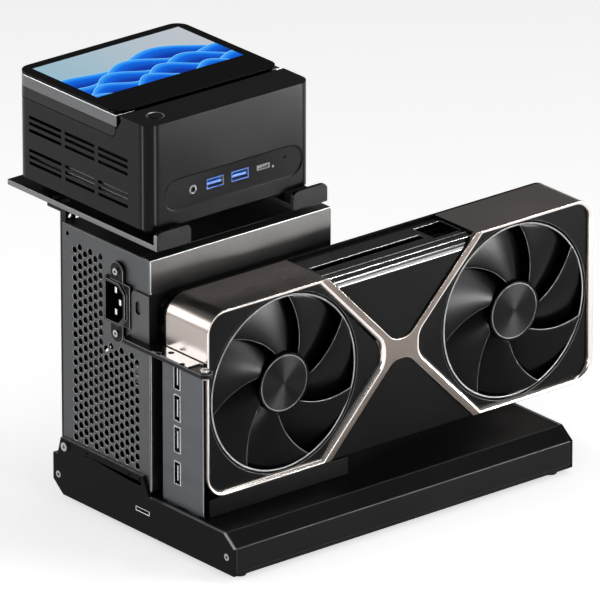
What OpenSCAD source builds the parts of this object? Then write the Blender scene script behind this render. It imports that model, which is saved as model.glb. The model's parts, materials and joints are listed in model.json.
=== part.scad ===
// External graphics dock: a PCI Express base with a power supply tower, a graphics card
// standing in its slot and a small computer with a tilting screen on a tray above.

/* [Dock base] */
// Width of the dock base
base_w = 267; // [250:1:300]
// Depth of the dock base
base_d = 174; // [172:1:190]
// Height of the dock base without its feet
base_h = 25.25; // [24:0.25:27]
// Sheet thickness of the base shell and its floor
shell_t = 2; // [1.5:0.1:2.5]
// Thickness of the two end plates
plate_t = 2.2; // [1.6:0.1:2.6]
// Depth of the bevel along the top front edge
front_cut_y = 10; // [6:0.5:12]
// Height of the bevel along the top front edge
front_cut_z = 7.5; // [5:0.5:8]
// Depth of the bevel along the bottom rear edge
rear_cut_y = 9.5; // [6:0.5:12]
// Height of the bevel along the bottom rear edge
rear_cut_z = 7.8; // [5:0.2:8.6]
// Height of the raised tab of the port plate above the base
tab_h = 12; // [8:0.5:16]
// Radius of a rubber foot
foot_r = 4; // [3.5:0.1:6]
// Height of a rubber foot
foot_h = 3.5; // [3:0.1:6]

/* [Power supply] */
// Width of the power supply, along the base
psu_w = 141; // [138:1:150]
// Depth of the power supply, front to rear
psu_d = 83.9; // [82:0.1:86]
// Height of the power supply
psu_h = 150; // [146:1:154]
// Sheet thickness of the power supply case
psu_t = 1; // [0.8:0.1:1.4]
// Depth of the front cover pan
cover_d = 8.7; // [7:0.1:11]
// Front face of the power supply, from the front of the base
psu_y = 82.6; // [82.2:0.1:84]
// Size of the square cooling fan
fan_size = 120; // [118:1:122]
// Depth of the cooling fan frame
fan_d = 25; // [20:1:26]

/* [Tray] */
// Width of the computer tray
tray_w = 132.45; // [130:0.05:138]
// Depth of the computer tray
tray_d = 144.5; // [140:0.5:150]
// Thickness of the tray plate
tray_t = 3.7; // [3:0.1:4]
// Gap between the power supply and the tray
tray_gap = 6; // [5:0.5:9]
// Height of the upturned front lips above the tray underside
lip_h = 11.9; // [9:0.1:14]
// Width of an upturned front lip
lip_w = 26.6; // [24:0.1:32]
// Depth of the cut-out between the two front arms
arm_d = 34; // [28:1:40]

/* [Graphics card] */
// Length of the graphics card body
card_l = 304; // [298:1:310]
// Height of the graphics card body
card_h = 119.6; // [118:0.1:124]
// Depth of the graphics card body
card_d = 41.4; // [41:0.1:43]
// Outer corner radius of the card
card_r = 14; // [8:0.5:16]
// Space between a fan opening and the edge line nearest to its centre
fan_edge = 2.2; // [1.9:0.1:4.5]
// Distance of each fan centre from the end of the card, as a share of the card's length
fan_u_share = 0.2016; // [0.2:0.0004:0.21]
// Number of blades on a card fan
blades = 7; // [5:1:9]
// Width of a diagonal arm of the face frame
arm_w = 6.5; // [4:0.1:8]

/* [Mini computer] */
// Width of the mini computer
mini_w = 126.8; // [124:0.1:130]
// Depth of the mini computer
mini_d = 127.1; // [124:0.1:130]
// Height of the mini computer case
mini_h = 67; // [64:0.5:72]
// Radius of its vertical corners
mini_r = 9; // [6:0.5:12]
// Wall thickness of its case
mini_t = 2; // [1.6:0.1:2.4]
// Height of its rubber feet
mini_foot_h = 7.1; // [5:0.1:9]
// Height of the tilting screen module, glass included
screen_h = 16.4; // [15:0.1:18]
// Thickness of the cover glass
glass_t = 2; // [1.2:0.1:2.4]

/* [Hidden] */
$fn = 48;

// Clearances
eps = 0.5; // overrun of a cut past the face it leaves
weld = 0.2; // how far joined shapes of one piece run into each other
fit = 0.05; // radial clearance of a pin or screw in its hole
seat = 0.3; // clearance between a moving body and what stands beside it

// Fastener sizes
m3_r = 1.5;
m3_head_r = 2.8;
m3_head_h = 1.6;
m3_drive_r = 1.1;
m3_drive_d = 0.9;
m25_r = 1.25;
m25_head_r = 2.2;
m25_head_h = 1.2;

// Places of the base
foot_in_x = 11;
foot_in_y = 8;
block_l = 13;
block_d = 12;
block_h = 14;
end_screw_front = [7, 10.8];
end_screw_rear_in = 5;
end_screw_rear_z = 12;
end_screw_l = 8;
foot_screw_l = 5.5;
foot_recess = 2;
tab_front = 81;
tab_slant_front = 6;
tab_rear = 169.7;
tab_slant_rear = 3.2;
psu_hole_in_y = 5;
psu_hole_in_z = 5.8;
tab_pair_y = [141.2, 99.6, 89.7];
tab_pair_up = [6.4, 8.9];
tab_pair_r = 1;
port_y = 80.5;
port_w = 13.3;
port_z = 13;
port_h = 3.1;
port_wall = 0.6;
port_gap = 0.1;

// Card slot and main board
pcb_t = 1.6;
card_x = 6.9;
card_y = 33;
card_z = 37;
card_pcb_v = 31;
finger_drop = 13.1;
board_top = card_z - finger_drop - 3.5;
board_x0 = 7;
board_end_in = 7.2;
board_y0 = 56;
board_rear_in = 28;
standoff_in = 7;
standoff_r = 3;
slot_x = 20;
slot_l = 89;
slot_w = 7.5;
slot_h = 11.25;
slot_groove_d = 8.4;
slot_end = 2;
slot_key_u = 13.6;
slot_key_w = 1.4;
slot_clear = 0.1;
latch_l = 3.4;
latch_w = 6;
latch_ear = 1.5;
latch_pin_r = 1.2;
latch_tab_l = 6;
latch_tab_t = 2;
latch_up = 3.2;
shroud_x1 = 116;
shroud_d = 46;
shroud_t = 1.6;
shroud_open_in = 7;
header_beside = 16.5;
header_in = 24;
header_l = 51.6;
header_d = 9.8;
header_h = 12.8;
header_pitch = 4.2;
header_pocket = 3.4;
header_pins = 12;

// Power supply details
pad_h = 1.65;
pad_d = 10;
pad_in = 7.5;
psu_x = 2.5;
psu_z = base_h + pad_h;
hex_r = 2.35;
hex_pitch_y = 4.95;
hex_pitch_z = 6.1;
hex_cols = 13;
hex_rows = 21;
hex_in_y = 12.5;
hex_in_z = 13.6;
iec_in = 28.4;
iec_up = 115.8;
iec_screw_gap = 40;
iec_flange_w = 25;
iec_flange_end_r = 6;
iec_flange_t = 2.5;
iec_body_w = 20;
iec_body_h = 27.6;
iec_body_d = 20;
iec_open_w = 17;
iec_open_h = 24.6;
iec_open_d = 16;
iec_open_cut = 5;
iec_rim_t = 1.5;
iec_rim_d = 2;
pin_w = 2;
pin_h = 4;
pin_l = 13;
pin_spread = 7;
pin_in = 2;
no_hex_w = 33;
no_hex_h = 58;
fan_open_r = 56;
fan_hub_r = 20;
fan_screw_gap = 105;
fan_screw_r = 2.15;
fan_strut_w = 4;
fan_strut_t = 3;
fan_shaft_r = 1.5;
fan_tip_gap = 1.5;
fan_blade_t = 1.4;
psu_chord = 34;
psu_sweep = 16;
grille_t = 1;
grille_wire = 1.4;
grille_rings = 6;
psu_board_in = 4;
psu_board_up = 3.2;
spacer_r = 3;
sink_l = 90;
sink_h = 42;
sink_t = 3;
sink_fin_t = 1.2;
sink_fin_l = 9;
sink_fins = 9;
sink_shares = [0.34, 0.66];
coil_w = 38;
coil_h = 32;
cap_r = 12;
cap_h = 36;
small_cap_r = 5;
small_cap_h = 22;
small_caps = 5;
outlet_r = 13;
outlet_lip = 2;
outlet_d = 5;

// Carriers beside and above the power supply
bracket_t = 1.5;
bracket_h = 31;
bracket_side = 17;
bracket_front = 16.7;
bracket_hole_r = 2.5;
bracket_hole_l = 3.5;
bracket_hole_up = 20.6;
bracket_hole_in = 9;
bracket_corner_r = 4;
bar_z = 121;
bar_t = 3;
bar_x0 = -4.5;
bar_x1 = 4.4;
bar_y0 = 22;
bar_y1 = 102;
bar_screw_in = 5;
tray_x = 5.85;
tray_y = 79.5;
lip_t = 3.2;
lip_r = 4;
post_w = 8;
post_t = 2;
post_gap = 0.7;
post_foot = 4.8;
post_flange = 16;
post_rib = 3.4;
post_rib_t = 1.5;
post_hole_r = 1.6;
post_hole_down = 4.3;
post_screw_l = 5;

// Card details, in the card's own frame: u along it, v into it, w up
rim_w = 3;
face_t = 3;
wall_t = 1.6;
top_cut_left_share = 0.30592;
top_cut_right_share = 0.69079;
bottom_cut_left_share = 0.31250;
bottom_cut_right_share = 0.68750;
mid_left_share = 0.47697;
mid_right_share = 0.51645;
mid_under = 0.3;
mid_half = 6.5;
panel_t = 1.5;
panel_v = 3;
spine_drop = 2;
spine_v = 1.5;
spine_round = 8;
spine_slot_u_share = 0.32237;
spine_slot_l_share = 0.28289;
spine_slot_w = 6;
recess_u_share = 0.61842;
recess_l = 21;
recess_v = 14;
recess_w = 19;
recess_deep = 7.5;
ring_t = 0.5;
ring_v = 4.5;
ring_d = 11;
hub_r = 19.3;
hub_v = 2.2;
hub_wall = 1.6;
motor_r = 13;
mount_t = 2.4;
mount_strut_w = 5;
mount_struts = 4;
shaft_r = 1.6;
blade_v = 3.4;
blade_deep = 9.2;
blade_t = 1.1;
blade_tip_gap = 1.2;
blade_ring_t = 1.1;
blade_chord = 42;
blade_sweep = 34;
blade_curve_share = 0.8;
blade_root_share = 0.62;
fin_v = 18.6;
fin_d = 9.4;
fin_t = 0.5;
fin_pitch = 5;
fin_base_t = 2;
fin_in = 6;
fin_jack_in = 13;
pipe_r = 3;
pipe_w_shares = [0.22, 0.4, 0.6, 0.78];
plate_cold_t = 1.6;
plate_cold_l = 60;
plate_cold_h = 56;
pcb_l_share = 0.64474;
pcb_h = 98;
pcb_u0 = 4;
gpu_l = 40;
chip_l = 12;
chip_t = 0.9;
brk_t = 0.86;
brk_y0 = 35.3;
brk_w = 38.5;
brk_x = 5.2;
brk_flange_y0 = 38;
brk_flange_l = 34;
brk_flange_out = 9.6;
brk_tongue = 10;
brk_tongue_w = 10.2;
brk_pitch = 20.3;
brk_ear_w = [17.8, 81.6];
brk_notch_r = 2.2;
brk_hole_r = 1.9;
jack_w = [72.5, 52.1, 31.6];
jack_h = 17;
hdmi_w = 9.9;
hdmi_h = 15;
jack_v = 23.4;
jack_d = 6.2;
jack_l = 14;
jack_out = 0.5;
jack_wall = 0.5;
back_t = 2;
back_slots = 9;
back_slot_w = 3;
back_slot_l = 70;
back_pitch = 9;
back_slot_u_share = 0.67434;
back_slot_z = 25;

// Mini computer details
mini_x = 4.6;
mini_y = 85.9;
mini_foot_r = 6;
mini_foot_in = 16;
hinge_in = 31.1;
hinge_down = 4.8;
deck_t = 2;
cut_r = 4;
lug_w = 6;
lug_in = 16;
lug_r = 2.4;
hinge_pin_r = 1;
hinge_pin_over = 4;
vent_rows_up = [40.3, 36.3, 31.8, 18.9, 14.9, 10.8];
vent_h = 2;
vent_y0 = 19.5;
vent_y1 = 114.6;
vent_break_y = [49.65, 81.6];
vent_break = 3.6;
pill_x0 = 12.4;
pill_x1 = 119.4;
pill_z0 = 8.8;
pill_z1 = 29.3;
pill_deep = 0.8;
usb_x = [45.7, 64.8];
usb_l = 13.2;
usb_h = 6.5;
usb_z = 16.3;
usbc_x = 84.4;
usbc_l = 9.9;
usbc_h = 3.4;
usbc_z = 18.6;
audio_x = 35.2;
audio_z = 19.1;
audio_r = 2.9;
audio_bore_r = 1.75;
led_x = 97;
led_r = 0.8;
led_z = 18.7;
pin_hole_x = 105.9;
pin_hole_z = 22.5;
port_depth = 12;
port_shell = 0.7;
button_x = 17.2;
button_y = 14.2;
button_r = 4.5;
button_ring_r = 5.6;
button_ring_deep = 0.4;
button_out = 0.1;
button_l = 6;
button_flange = 1;
mini_board_up = 12;
cooler_w = 84;
cooler_h = 14;
cooler_fins = 17;
cooler_fin_t = 0.8;
bottom_gap = 0.1;
glass_over = 1.5;
glass_rise = 1.3;
housing_over = 1;
cheek_h = 7;
band_h = 7.6;
screen_gap = 0.3;
display_in_x = 7;
display_in_y0 = 27.2;
display_in_y1 = 7.6;
display_t = 0.4;
screen_wall = 2;
hinge_block = 7;

// Derived places
x_min = bar_x0;
x_max = card_x + card_l;
y_max = max(base_d, tray_y + tray_d);
psu_x1 = psu_x + psu_w;
psu_y1 = psu_y + psu_d;
psu_z1 = psu_z + psu_h;
tray_z = psu_z1 + tray_gap;
tray_top = tray_z + tray_t;
mini_z = tray_top + mini_foot_h;
mini_z1 = mini_z + mini_h;
slot_y = card_y + card_pcb_v + pcb_t / 2;
mid_w = card_h / 2 - mid_under;
fan_u = card_l * fan_u_share;
top_cut_left = card_l * top_cut_left_share;
top_cut_right = card_l * top_cut_right_share;
bottom_cut_left = card_l * bottom_cut_left_share;
bottom_cut_right = card_l * bottom_cut_right_share;
mid_left = card_l * mid_left_share;
mid_right = card_l * mid_right_share;
spine_slot_u = card_l * spine_slot_u_share;
spine_slot_l = card_l * spine_slot_l_share;
recess_u = card_l * recess_u_share;
back_slot_u = card_l * back_slot_u_share;
pcb_l = card_l * pcb_l_share;
fan_r = min(fan_u, mid_w) - fan_edge;
iec_y = psu_y + iec_in;
iec_z = psu_z + iec_up;
board_x1 = base_w - board_end_in;
board_y1 = base_d - board_rear_in;
header_x = psu_x1 + header_beside;
header_y = board_y1 - header_in;
latch_x = slot_x + slot_l + 2 * seat;
shroud_top = card_z - seat;
hinge_y = mini_y + hinge_in;
screen_z1 = mini_z1 + glass_rise;
screen_z0 = screen_z1 - screen_h;
hinge_z = screen_z1 - hinge_down;
hinge_clear = norm([glass_over, hinge_down]) + seat;
fan_cx = psu_x + psu_w / 2;
fan_cz = psu_z + psu_h / 2;
fan_y0 = psu_y1 - psu_t - fan_d;
bracket_z = bar_z + bar_t;
far_x = base_w - plate_t;
foot_rear = base_d - rear_cut_y - foot_in_y;
rear_screw = [base_d - end_screw_rear_in, end_screw_rear_z];

// Depth that a bevel of legs a and b takes from a wall of unit thickness
function miter(a, b) = (norm([a, b]) - b) / a;
// Points of an arc about c from angle a0 to a1
function arc(c, r, a0, a1, n = 8) = [
  for (i = [0:n]) let (a = a0 + (a1 - a0) * i / n) c + r * [cos(a), sin(a)]
];

function base_profile() = [
  [0, 0], [base_d - rear_cut_y, 0], [base_d, rear_cut_z], [base_d, base_h],
  [front_cut_y, base_h], [0, base_h - front_cut_z]
];

// A box from corner to corner
module span(x, y, z) {
  translate([x[0], y[0], z[0]]) cube([x[1] - x[0], y[1] - y[0], z[1] - z[0]]);
}

// A flat outline in Y and Z, extruded along X
module along_x(x0, x1) {
  translate([x0, 0, 0]) rotate([90, 0, 90]) linear_extrude(x1 - x0) children();
}

// A flat outline in X and Z, extruded along Y
module along_y(y0, y1) {
  translate([0, y1, 0]) rotate([90, 0, 0]) linear_extrude(y1 - y0) children();
}

module rod_x(x0, x1, y, z, r) {
  translate([x0, y, z]) rotate([0, 90, 0]) cylinder(h = x1 - x0, r = r);
}

module rod_y(x, y0, y1, z, r) {
  translate([x, y0, z]) rotate([-90, 0, 0]) cylinder(h = y1 - y0, r = r);
}

module rod_z(x, y, z0, z1, r) {
  translate([x, y, z0]) cylinder(h = z1 - z0, r = r);
}

module round_rect(l, h, r) {
  translate([r, 0]) square([l - 2 * r, h]);
  translate([0, r]) square([l, h - 2 * r]);
  for (x = [r, l - r], y = [r, h - r]) translate([x, y]) circle(r);
}

// A pan head screw: its head stands on z = 0 and its shank points down
module screw(r, head_r, head_h, l) {
  difference() {
    union() {
      cylinder(h = head_h, r = head_r);
      translate([0, 0, -l]) cylinder(h = l + weld, r = r);
    }
    translate([0, 0, head_h - m3_drive_d]) cylinder(h = m3_drive_d + eps, r = m3_drive_r, $fn = 6);
  }
}

// Places the children at the four feet
module at_feet() {
  for (x = [foot_in_x, base_w - foot_in_x], y = [foot_in_y, foot_rear]) translate([x, y, 0]) children();
}

module base_shell() color("#1b1b1d") {
  top_in = base_h - shell_t;
  outer = [
    [0, shell_t], [0, base_h - front_cut_z], [front_cut_y, base_h], [base_d, base_h],
    [base_d, rear_cut_z], [base_d - rear_cut_y * (1 - shell_t / rear_cut_z), shell_t]
  ];
  rear_in = base_d - rear_cut_y - shell_t * miter(rear_cut_z, rear_cut_y);
  inner = [
    [shell_t, shell_t - eps], [shell_t, base_h - front_cut_z - shell_t * miter(front_cut_y, front_cut_z)],
    [front_cut_y + shell_t * miter(front_cut_z, front_cut_y), top_in], [base_d - shell_t, top_in],
    [base_d - shell_t, rear_cut_z + shell_t * miter(rear_cut_y, rear_cut_z)], [rear_in, shell_t],
    [rear_in, shell_t - eps]
  ];
  difference() {
    union() {
      difference() {
        along_x(plate_t, far_x) polygon(outer);
        along_x(plate_t - eps, far_x + eps) polygon(inner);
      }
      for (x = [plate_t, far_x - block_l]) {
        span([x, x + block_l], [shell_t - weld, block_d], [shell_t, block_h]);
        along_x(x, x + block_l) polygon([
          [foot_rear - foot_r, shell_t], [base_d - rear_cut_y, shell_t], [base_d - shell_t / 2, rear_cut_z],
          [base_d - shell_t / 2, block_h + shell_t], [foot_rear - foot_r, block_h + shell_t]
        ]);
      }
    }
    for (x = [plate_t - eps, far_x - end_screw_l], p = [end_screw_front, rear_screw])
      rod_x(x, x + end_screw_l + eps, p[0], p[1], m25_r + fit);
    at_feet() cylinder(h = shell_t + foot_screw_l, r = m25_r + fit);
    // openings in the top for the card slot, the bracket's tongues and the power header
    span([slot_x - 1.5 * slot_end, slot_x + slot_l + latch_l + latch_tab_l + slot_end],
         [slot_y - slot_w, slot_y + slot_w], [top_in - eps, base_h + eps]);
    span([brk_x - brk_t, brk_x + 2 * brk_t], [brk_y0 + brk_t, brk_y0 + brk_w - brk_t],
         [top_in - eps, base_h + eps]);
    span([header_x - seat, header_x + header_l + seat], [header_y - seat, header_y + header_d + seat],
         [top_in - eps, base_h + eps]);
    for (x = [tray_x + post_w / 2 + post_rib_t / 2, tray_x + tray_w - post_w / 2 - post_rib_t / 2])
      rod_z(x, psu_y1 + post_gap + post_t + post_foot / 2, base_h + post_t - post_screw_l - eps, base_h + eps,
            m25_r + fit);
  }
}

module base_floor() color("#202022") {
  slope = rear_cut_y * shell_t / rear_cut_z;
  difference() {
    along_x(plate_t, far_x)
      polygon([[0, 0], [base_d - rear_cut_y, 0], [base_d - rear_cut_y + slope, shell_t], [0, shell_t]]);
    at_feet() translate([0, 0, -eps]) cylinder(h = shell_t + 2 * eps, r = m25_r + fit);
  }
}

// Holes of the end plates for their countersunk screws, and the screws' cones
module end_cone(r_extra = 0) {
  rotate([0, 90, 0]) cylinder(h = m25_head_r - m25_r, r1 = m25_head_r + r_extra, r2 = m25_r + r_extra);
}

module end_holes() {
  for (p = [end_screw_front, rear_screw]) translate([0, p[0], p[1]]) {
    end_cone(fit);
    rod_x(0, plate_t + eps, 0, 0, m25_r + fit);
  }
}

module io_end_plate() color("#232326") {
  tab_z = base_h + tab_h;
  outline = [
    [0, 0], [base_d - rear_cut_y, 0], [base_d, rear_cut_z], [base_d, base_h], [tab_rear, base_h],
    [tab_rear - tab_slant_rear, tab_z], [tab_front + tab_slant_front, tab_z], [tab_front, base_h],
    [front_cut_y, base_h], [0, base_h - front_cut_z]
  ];
  difference() {
    along_x(0, plate_t) polygon(outline);
    end_holes();
    rod_x(-eps, plate_t + eps, psu_y1 - psu_hole_in_y, psu_z + psu_hole_in_z, m3_r + fit);
    for (y = tab_pair_y, up = tab_pair_up) rod_x(-eps, plate_t + eps, y, base_h + up, tab_pair_r);
    span([-eps, plate_t + eps], [port_y - port_gap, port_y + port_w + port_gap],
         [port_z - port_gap, port_z + port_h + port_gap]);
  }
}

module far_end_plate() color("#232326") {
  difference() {
    along_x(far_x, base_w) polygon(base_profile());
    translate([base_w, 0, 0]) mirror([1, 0, 0]) end_holes();
  }
}

module rubber_feet() color("#141414") {
  at_feet() translate([0, 0, -foot_h]) difference() {
    cylinder(h = foot_h, r = foot_r);
    translate([0, 0, -eps]) cylinder(h = foot_h + 2 * eps, r = m25_r + fit);
    translate([0, 0, -eps]) cylinder(h = foot_recess + eps, r = m25_head_r + fit);
  }
}

module base_screws() color("#8f9195") {
  at_feet() translate([0, 0, foot_recess - foot_h]) mirror([0, 0, 1])
    screw(m25_r, m25_head_r, m25_head_h, foot_screw_l);
  for (side = [0, 1], p = [end_screw_front, rear_screw])
    translate([side * base_w, 0, 0]) mirror([side, 0, 0]) translate([0, p[0], p[1]]) difference() {
      union() {
        end_cone();
        rod_x(0, end_screw_l, 0, 0, m25_r);
      }
      rotate([0, 90, 0]) translate([0, 0, -eps]) cylinder(h = m3_drive_d + eps, r = m3_drive_r, $fn = 6);
    }
}

module main_board() color("#123a24") {
  difference() {
    span([board_x0, board_x1], [board_y0, board_y1], [board_top - pcb_t, board_top]);
    at_standoffs() rod_z(0, 0, -eps, board_top + eps, m3_r + fit);
  }
}

module at_standoffs() {
 
  for (x = [board_x0 + standoff_in, board_x1 - standoff_in],
       y = [board_y0 + standoff_in, board_y1 - standoff_in])
    translate([x, y, 0]) children();
}

// Brass pillars on the floor, each with its screw's shank through the board and a head above it
module board_standoffs() color("#b08d4a") {
  at_standoffs() {
    rod_z(0, 0, shell_t, board_top - pcb_t, standoff_r);
    rod_z(0, 0, board_top - pcb_t - weld, board_top, m3_r);
    rod_z(0, 0, board_top, board_top + m25_head_h, m3_head_r);
  }
}

module pcie_slot() color("#17171a") {
  groove = pcb_t / 2 + slot_clear;
  ear_x = slot_x + slot_l;
  pivot_z = board_top + latch_up;
  difference() {
    span([slot_x, ear_x], [slot_y - slot_w / 2, slot_y + slot_w / 2], [board_top, board_top + slot_h]);
    difference() {
      span([slot_x + slot_end, ear_x - slot_end], [slot_y - groove, slot_y + groove],
           [board_top + slot_h - slot_groove_d, board_top + slot_h + eps]);
      span([slot_x + slot_key_u, slot_x + slot_key_u + slot_key_w],
           [slot_y - slot_w / 2, slot_y + slot_w / 2],
           [board_top, board_top + slot_h + eps]);
    }
  }
  for (side = [-1, 1])
    translate([0, slot_y + side * (latch_w + latch_ear + 2 * seat) / 2, 0]) difference() {
      span([ear_x - weld, latch_x + latch_l + seat], [-latch_ear / 2, latch_ear / 2],
           [board_top, pivot_z + 2 * latch_pin_r]);
      rod_y(latch_x + latch_l / 2, -latch_ear, latch_ear, pivot_z, latch_pin_r + fit);
    }
}

// Lever that frees the card: it turns on its own pins between the slot's ears
module slot_latch() color("#3c3f44") {
  x0 = latch_x;
  pin_half = latch_w / 2 + seat + latch_ear;
  pivot_z = board_top + latch_up;
  tab_z = board_top + slot_h - latch_tab_t;
  span([x0, x0 + latch_l], [slot_y - latch_w / 2, slot_y + latch_w / 2],
       [pivot_z - latch_pin_r, board_top + slot_h]);
  span([x0, x0 + latch_l + latch_tab_l], [slot_y - latch_w / 2, slot_y + latch_w / 2],
       [tab_z, board_top + slot_h]);
  rod_y(x0 + latch_l / 2, slot_y - pin_half, slot_y + pin_half, pivot_z, latch_pin_r);
}

module slot_shroud() color("#101012") {
  x0 = card_x + wall_t;
  difference() {
    span([x0, shroud_x1], [card_y, card_y + shroud_d], [base_h, shroud_top]);
    span([x0 + shroud_t, shroud_x1 - shroud_t], [card_y + shroud_t, card_y + shroud_d - shroud_t],
         [base_h - eps, shroud_top - shroud_t]);
    // the card edge passes through the top, and the latch's tab through the end wall
    span([x0 + shroud_t, shroud_x1 - shroud_t], [slot_y - shroud_open_in, slot_y + shroud_open_in],
         [shroud_top - shroud_t - eps, shroud_top + eps]);
    span([shroud_x1 - shroud_t - eps, shroud_x1 + eps], [slot_y - latch_w, slot_y + latch_w],
         [base_h - eps, shroud_top - shroud_t]);
  }
}

module link_port() color("#b9bcc0") {
  difference() {
    span([0, port_depth], [port_y, port_y + port_w], [port_z, port_z + port_h]);
    span([-eps, port_depth - port_wall], [port_y + port_wall, port_y + port_w - port_wall],
         [port_z + port_wall, port_z + port_h - port_wall]);
  }
  span([board_x0, port_depth], [port_y, port_y + port_w], [port_z + port_h - weld, board_top - pcb_t]);
}

module power_header() color("#d8d8d2") {
  pocket_in = (header_l - (header_pins - 1) * header_pitch - header_pocket) / 2;
  difference() {
    span([header_x, header_x + header_l], [header_y, header_y + header_d], [board_top, board_top + header_h]);
    for (i = [0:header_pins - 1], row = [0, 1])
      translate([header_x + pocket_in + i * header_pitch,
                 header_y + (header_d - header_pitch - header_pocket) / 2 + row * header_pitch,
                 board_top + header_h / 4]) cube([header_pocket, header_pocket, header_h]);
  }
}

module psu_pads() color("#1a1a1a") {
  for (y = [psu_y + pad_in, psu_y1 - pad_in - pad_d])
    span([psu_x + pad_in, psu_x1 - pad_in], [y, y + pad_d], [base_h, psu_z]);
}

module at_fan_screws() {
  for (sx = [-1, 1], sz = [-1, 1])
    translate([fan_cx + sx * fan_screw_gap / 2, 0, fan_cz + sz * fan_screw_gap / 2]) children();
}

module psu_case() color("#5b5c60") {
  difference() {
    span([psu_x + psu_t, psu_x1], [psu_y + cover_d, psu_y1], [psu_z, psu_z1]);
    span([psu_x + psu_t - eps, psu_x1 - psu_t], [psu_y + cover_d - eps, psu_y1 - psu_t],
         [psu_z + psu_t, psu_z1 - psu_t]);
    rod_y(fan_cx, psu_y1 - psu_t - eps, psu_y1 + eps, fan_cz, fan_open_r);
    at_fan_screws() rod_y(0, psu_y1 - psu_t - eps, psu_y1 + eps, 0, fan_screw_r);
    rod_x(psu_x1 - psu_t - eps, psu_x1 + eps, psu_y + psu_d / 2, psu_z + psu_h / 4, outlet_r + fit);
  }
}

module psu_front_cover() color("#626367") {
  board_y = psu_y + psu_board_in;
  difference() {
    span([psu_x + psu_t, psu_x1], [psu_y, psu_y + cover_d], [psu_z, psu_z1]);
    span([psu_x + psu_t - eps, psu_x1 - psu_t], [psu_y + psu_t, psu_y + cover_d + eps],
         [psu_z + psu_t, psu_z1 - psu_t]);
  }
  at_spacers() rod_y(0, psu_y + psu_t - weld, board_y, 0, spacer_r);
}

module at_spacers() {
  inset = psu_t + 2 * spacer_r + psu_board_up;
  for (x = [psu_x + inset, psu_x1 - inset], z = [psu_z + inset, psu_z1 - inset])
    translate([x, 0, z]) children();
}

module hex_field() {
  for (c = [0:hex_cols - 1], r = [0:hex_rows - 1]) {
    y = psu_y + hex_in_y + c * hex_pitch_y;
    z = psu_z + hex_in_z + (r + (c % 2) / 2) * hex_pitch_z;
    clear_y = abs(y - iec_y) > no_hex_w / 2;
    clear_z = abs(z - iec_z) > no_hex_h / 2 && z < iec_z;
    if (clear_y || clear_z) translate([y, z]) circle(hex_r, $fn = 6);
  }
}

module psu_vent_panel() color("#6b6c70") {
  difference() {
    along_x(psu_x, psu_x + psu_t) difference() {
      translate([psu_y, psu_z]) square([psu_d, psu_h]);
      hex_field();
      translate([iec_y - iec_body_w / 2 - port_gap, iec_z - iec_body_h / 2 - port_gap])
        square([iec_body_w + 2 * port_gap, iec_body_h + 2 * port_gap]);
    }
    for (z = [psu_z + psu_hole_in_z, psu_z1 - psu_hole_in_z])
      rod_x(psu_x - eps, psu_x + psu_t + eps, psu_y1 - psu_hole_in_y, z, m3_r + fit);
    for (side = [-1, 1])
      rod_x(psu_x - eps, psu_x + psu_t + eps, iec_y, iec_z + side * iec_screw_gap / 2, m25_r + fit);
  }
}

module iec_outline(w, h, cut) {
  polygon([
    [w / 2, -h / 2], [w / 2, h / 2], [cut - w / 2, h / 2], [-w / 2, h / 2 - cut],
    [-w / 2, cut - h / 2], [cut - w / 2, -h / 2]
  ]);
}

module iec_inlet() color("#0e0e10") {
  out_x = psu_x - iec_flange_t;
  rim_x = out_x - iec_rim_d;
  difference() {
    union() {
      // flange with its two screw ears, the body behind it and the raised rim of the socket
      along_x(out_x, psu_x) translate([iec_y, iec_z]) {
        square([iec_flange_w, iec_body_h], center = true);
        square([2 * iec_flange_end_r, iec_screw_gap], center = true);
        for (side = [-1, 1]) translate([0, side * iec_screw_gap / 2]) circle(iec_flange_end_r);
      }
      span([psu_x - weld, psu_x + iec_body_d], [iec_y - iec_body_w / 2, iec_y + iec_body_w / 2],
           [iec_z - iec_body_h / 2, iec_z + iec_body_h / 2]);
      along_x(rim_x, out_x + weld) translate([iec_y, iec_z])
        iec_outline(iec_open_w + 2 * iec_rim_t, iec_open_h + 2 * iec_rim_t, iec_open_cut + iec_rim_t / 2);
    }
    along_x(rim_x - eps, rim_x + iec_open_d) translate([iec_y, iec_z])
      iec_outline(iec_open_w, iec_open_h, iec_open_cut);
    for (side = [-1, 1])
      rod_x(out_x - eps, psu_x + eps, iec_y, iec_z + side * iec_screw_gap / 2, m25_r + fit);
    for (p = iec_pin_places()) translate([rim_x + iec_open_d - eps, p[0], p[1]])
      translate([0, -pin_w / 2, -pin_h / 2]) cube([iec_body_d, pin_w, pin_h]);
  }
}

function iec_pin_places() = [
  [iec_y + pin_in, iec_z + pin_spread], [iec_y + pin_in, iec_z - pin_spread], [iec_y - pin_in, iec_z]
];

module iec_pins() color("#c9ccd0") {
  for (p = iec_pin_places())
    translate([psu_x - iec_flange_t - iec_rim_d + iec_open_d - pin_l, p[0] - pin_w / 2, p[1] - pin_h / 2])
      cube([pin_l + iec_body_d - iec_open_d + iec_flange_t + iec_rim_d, pin_w, pin_h]);
}

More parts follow.
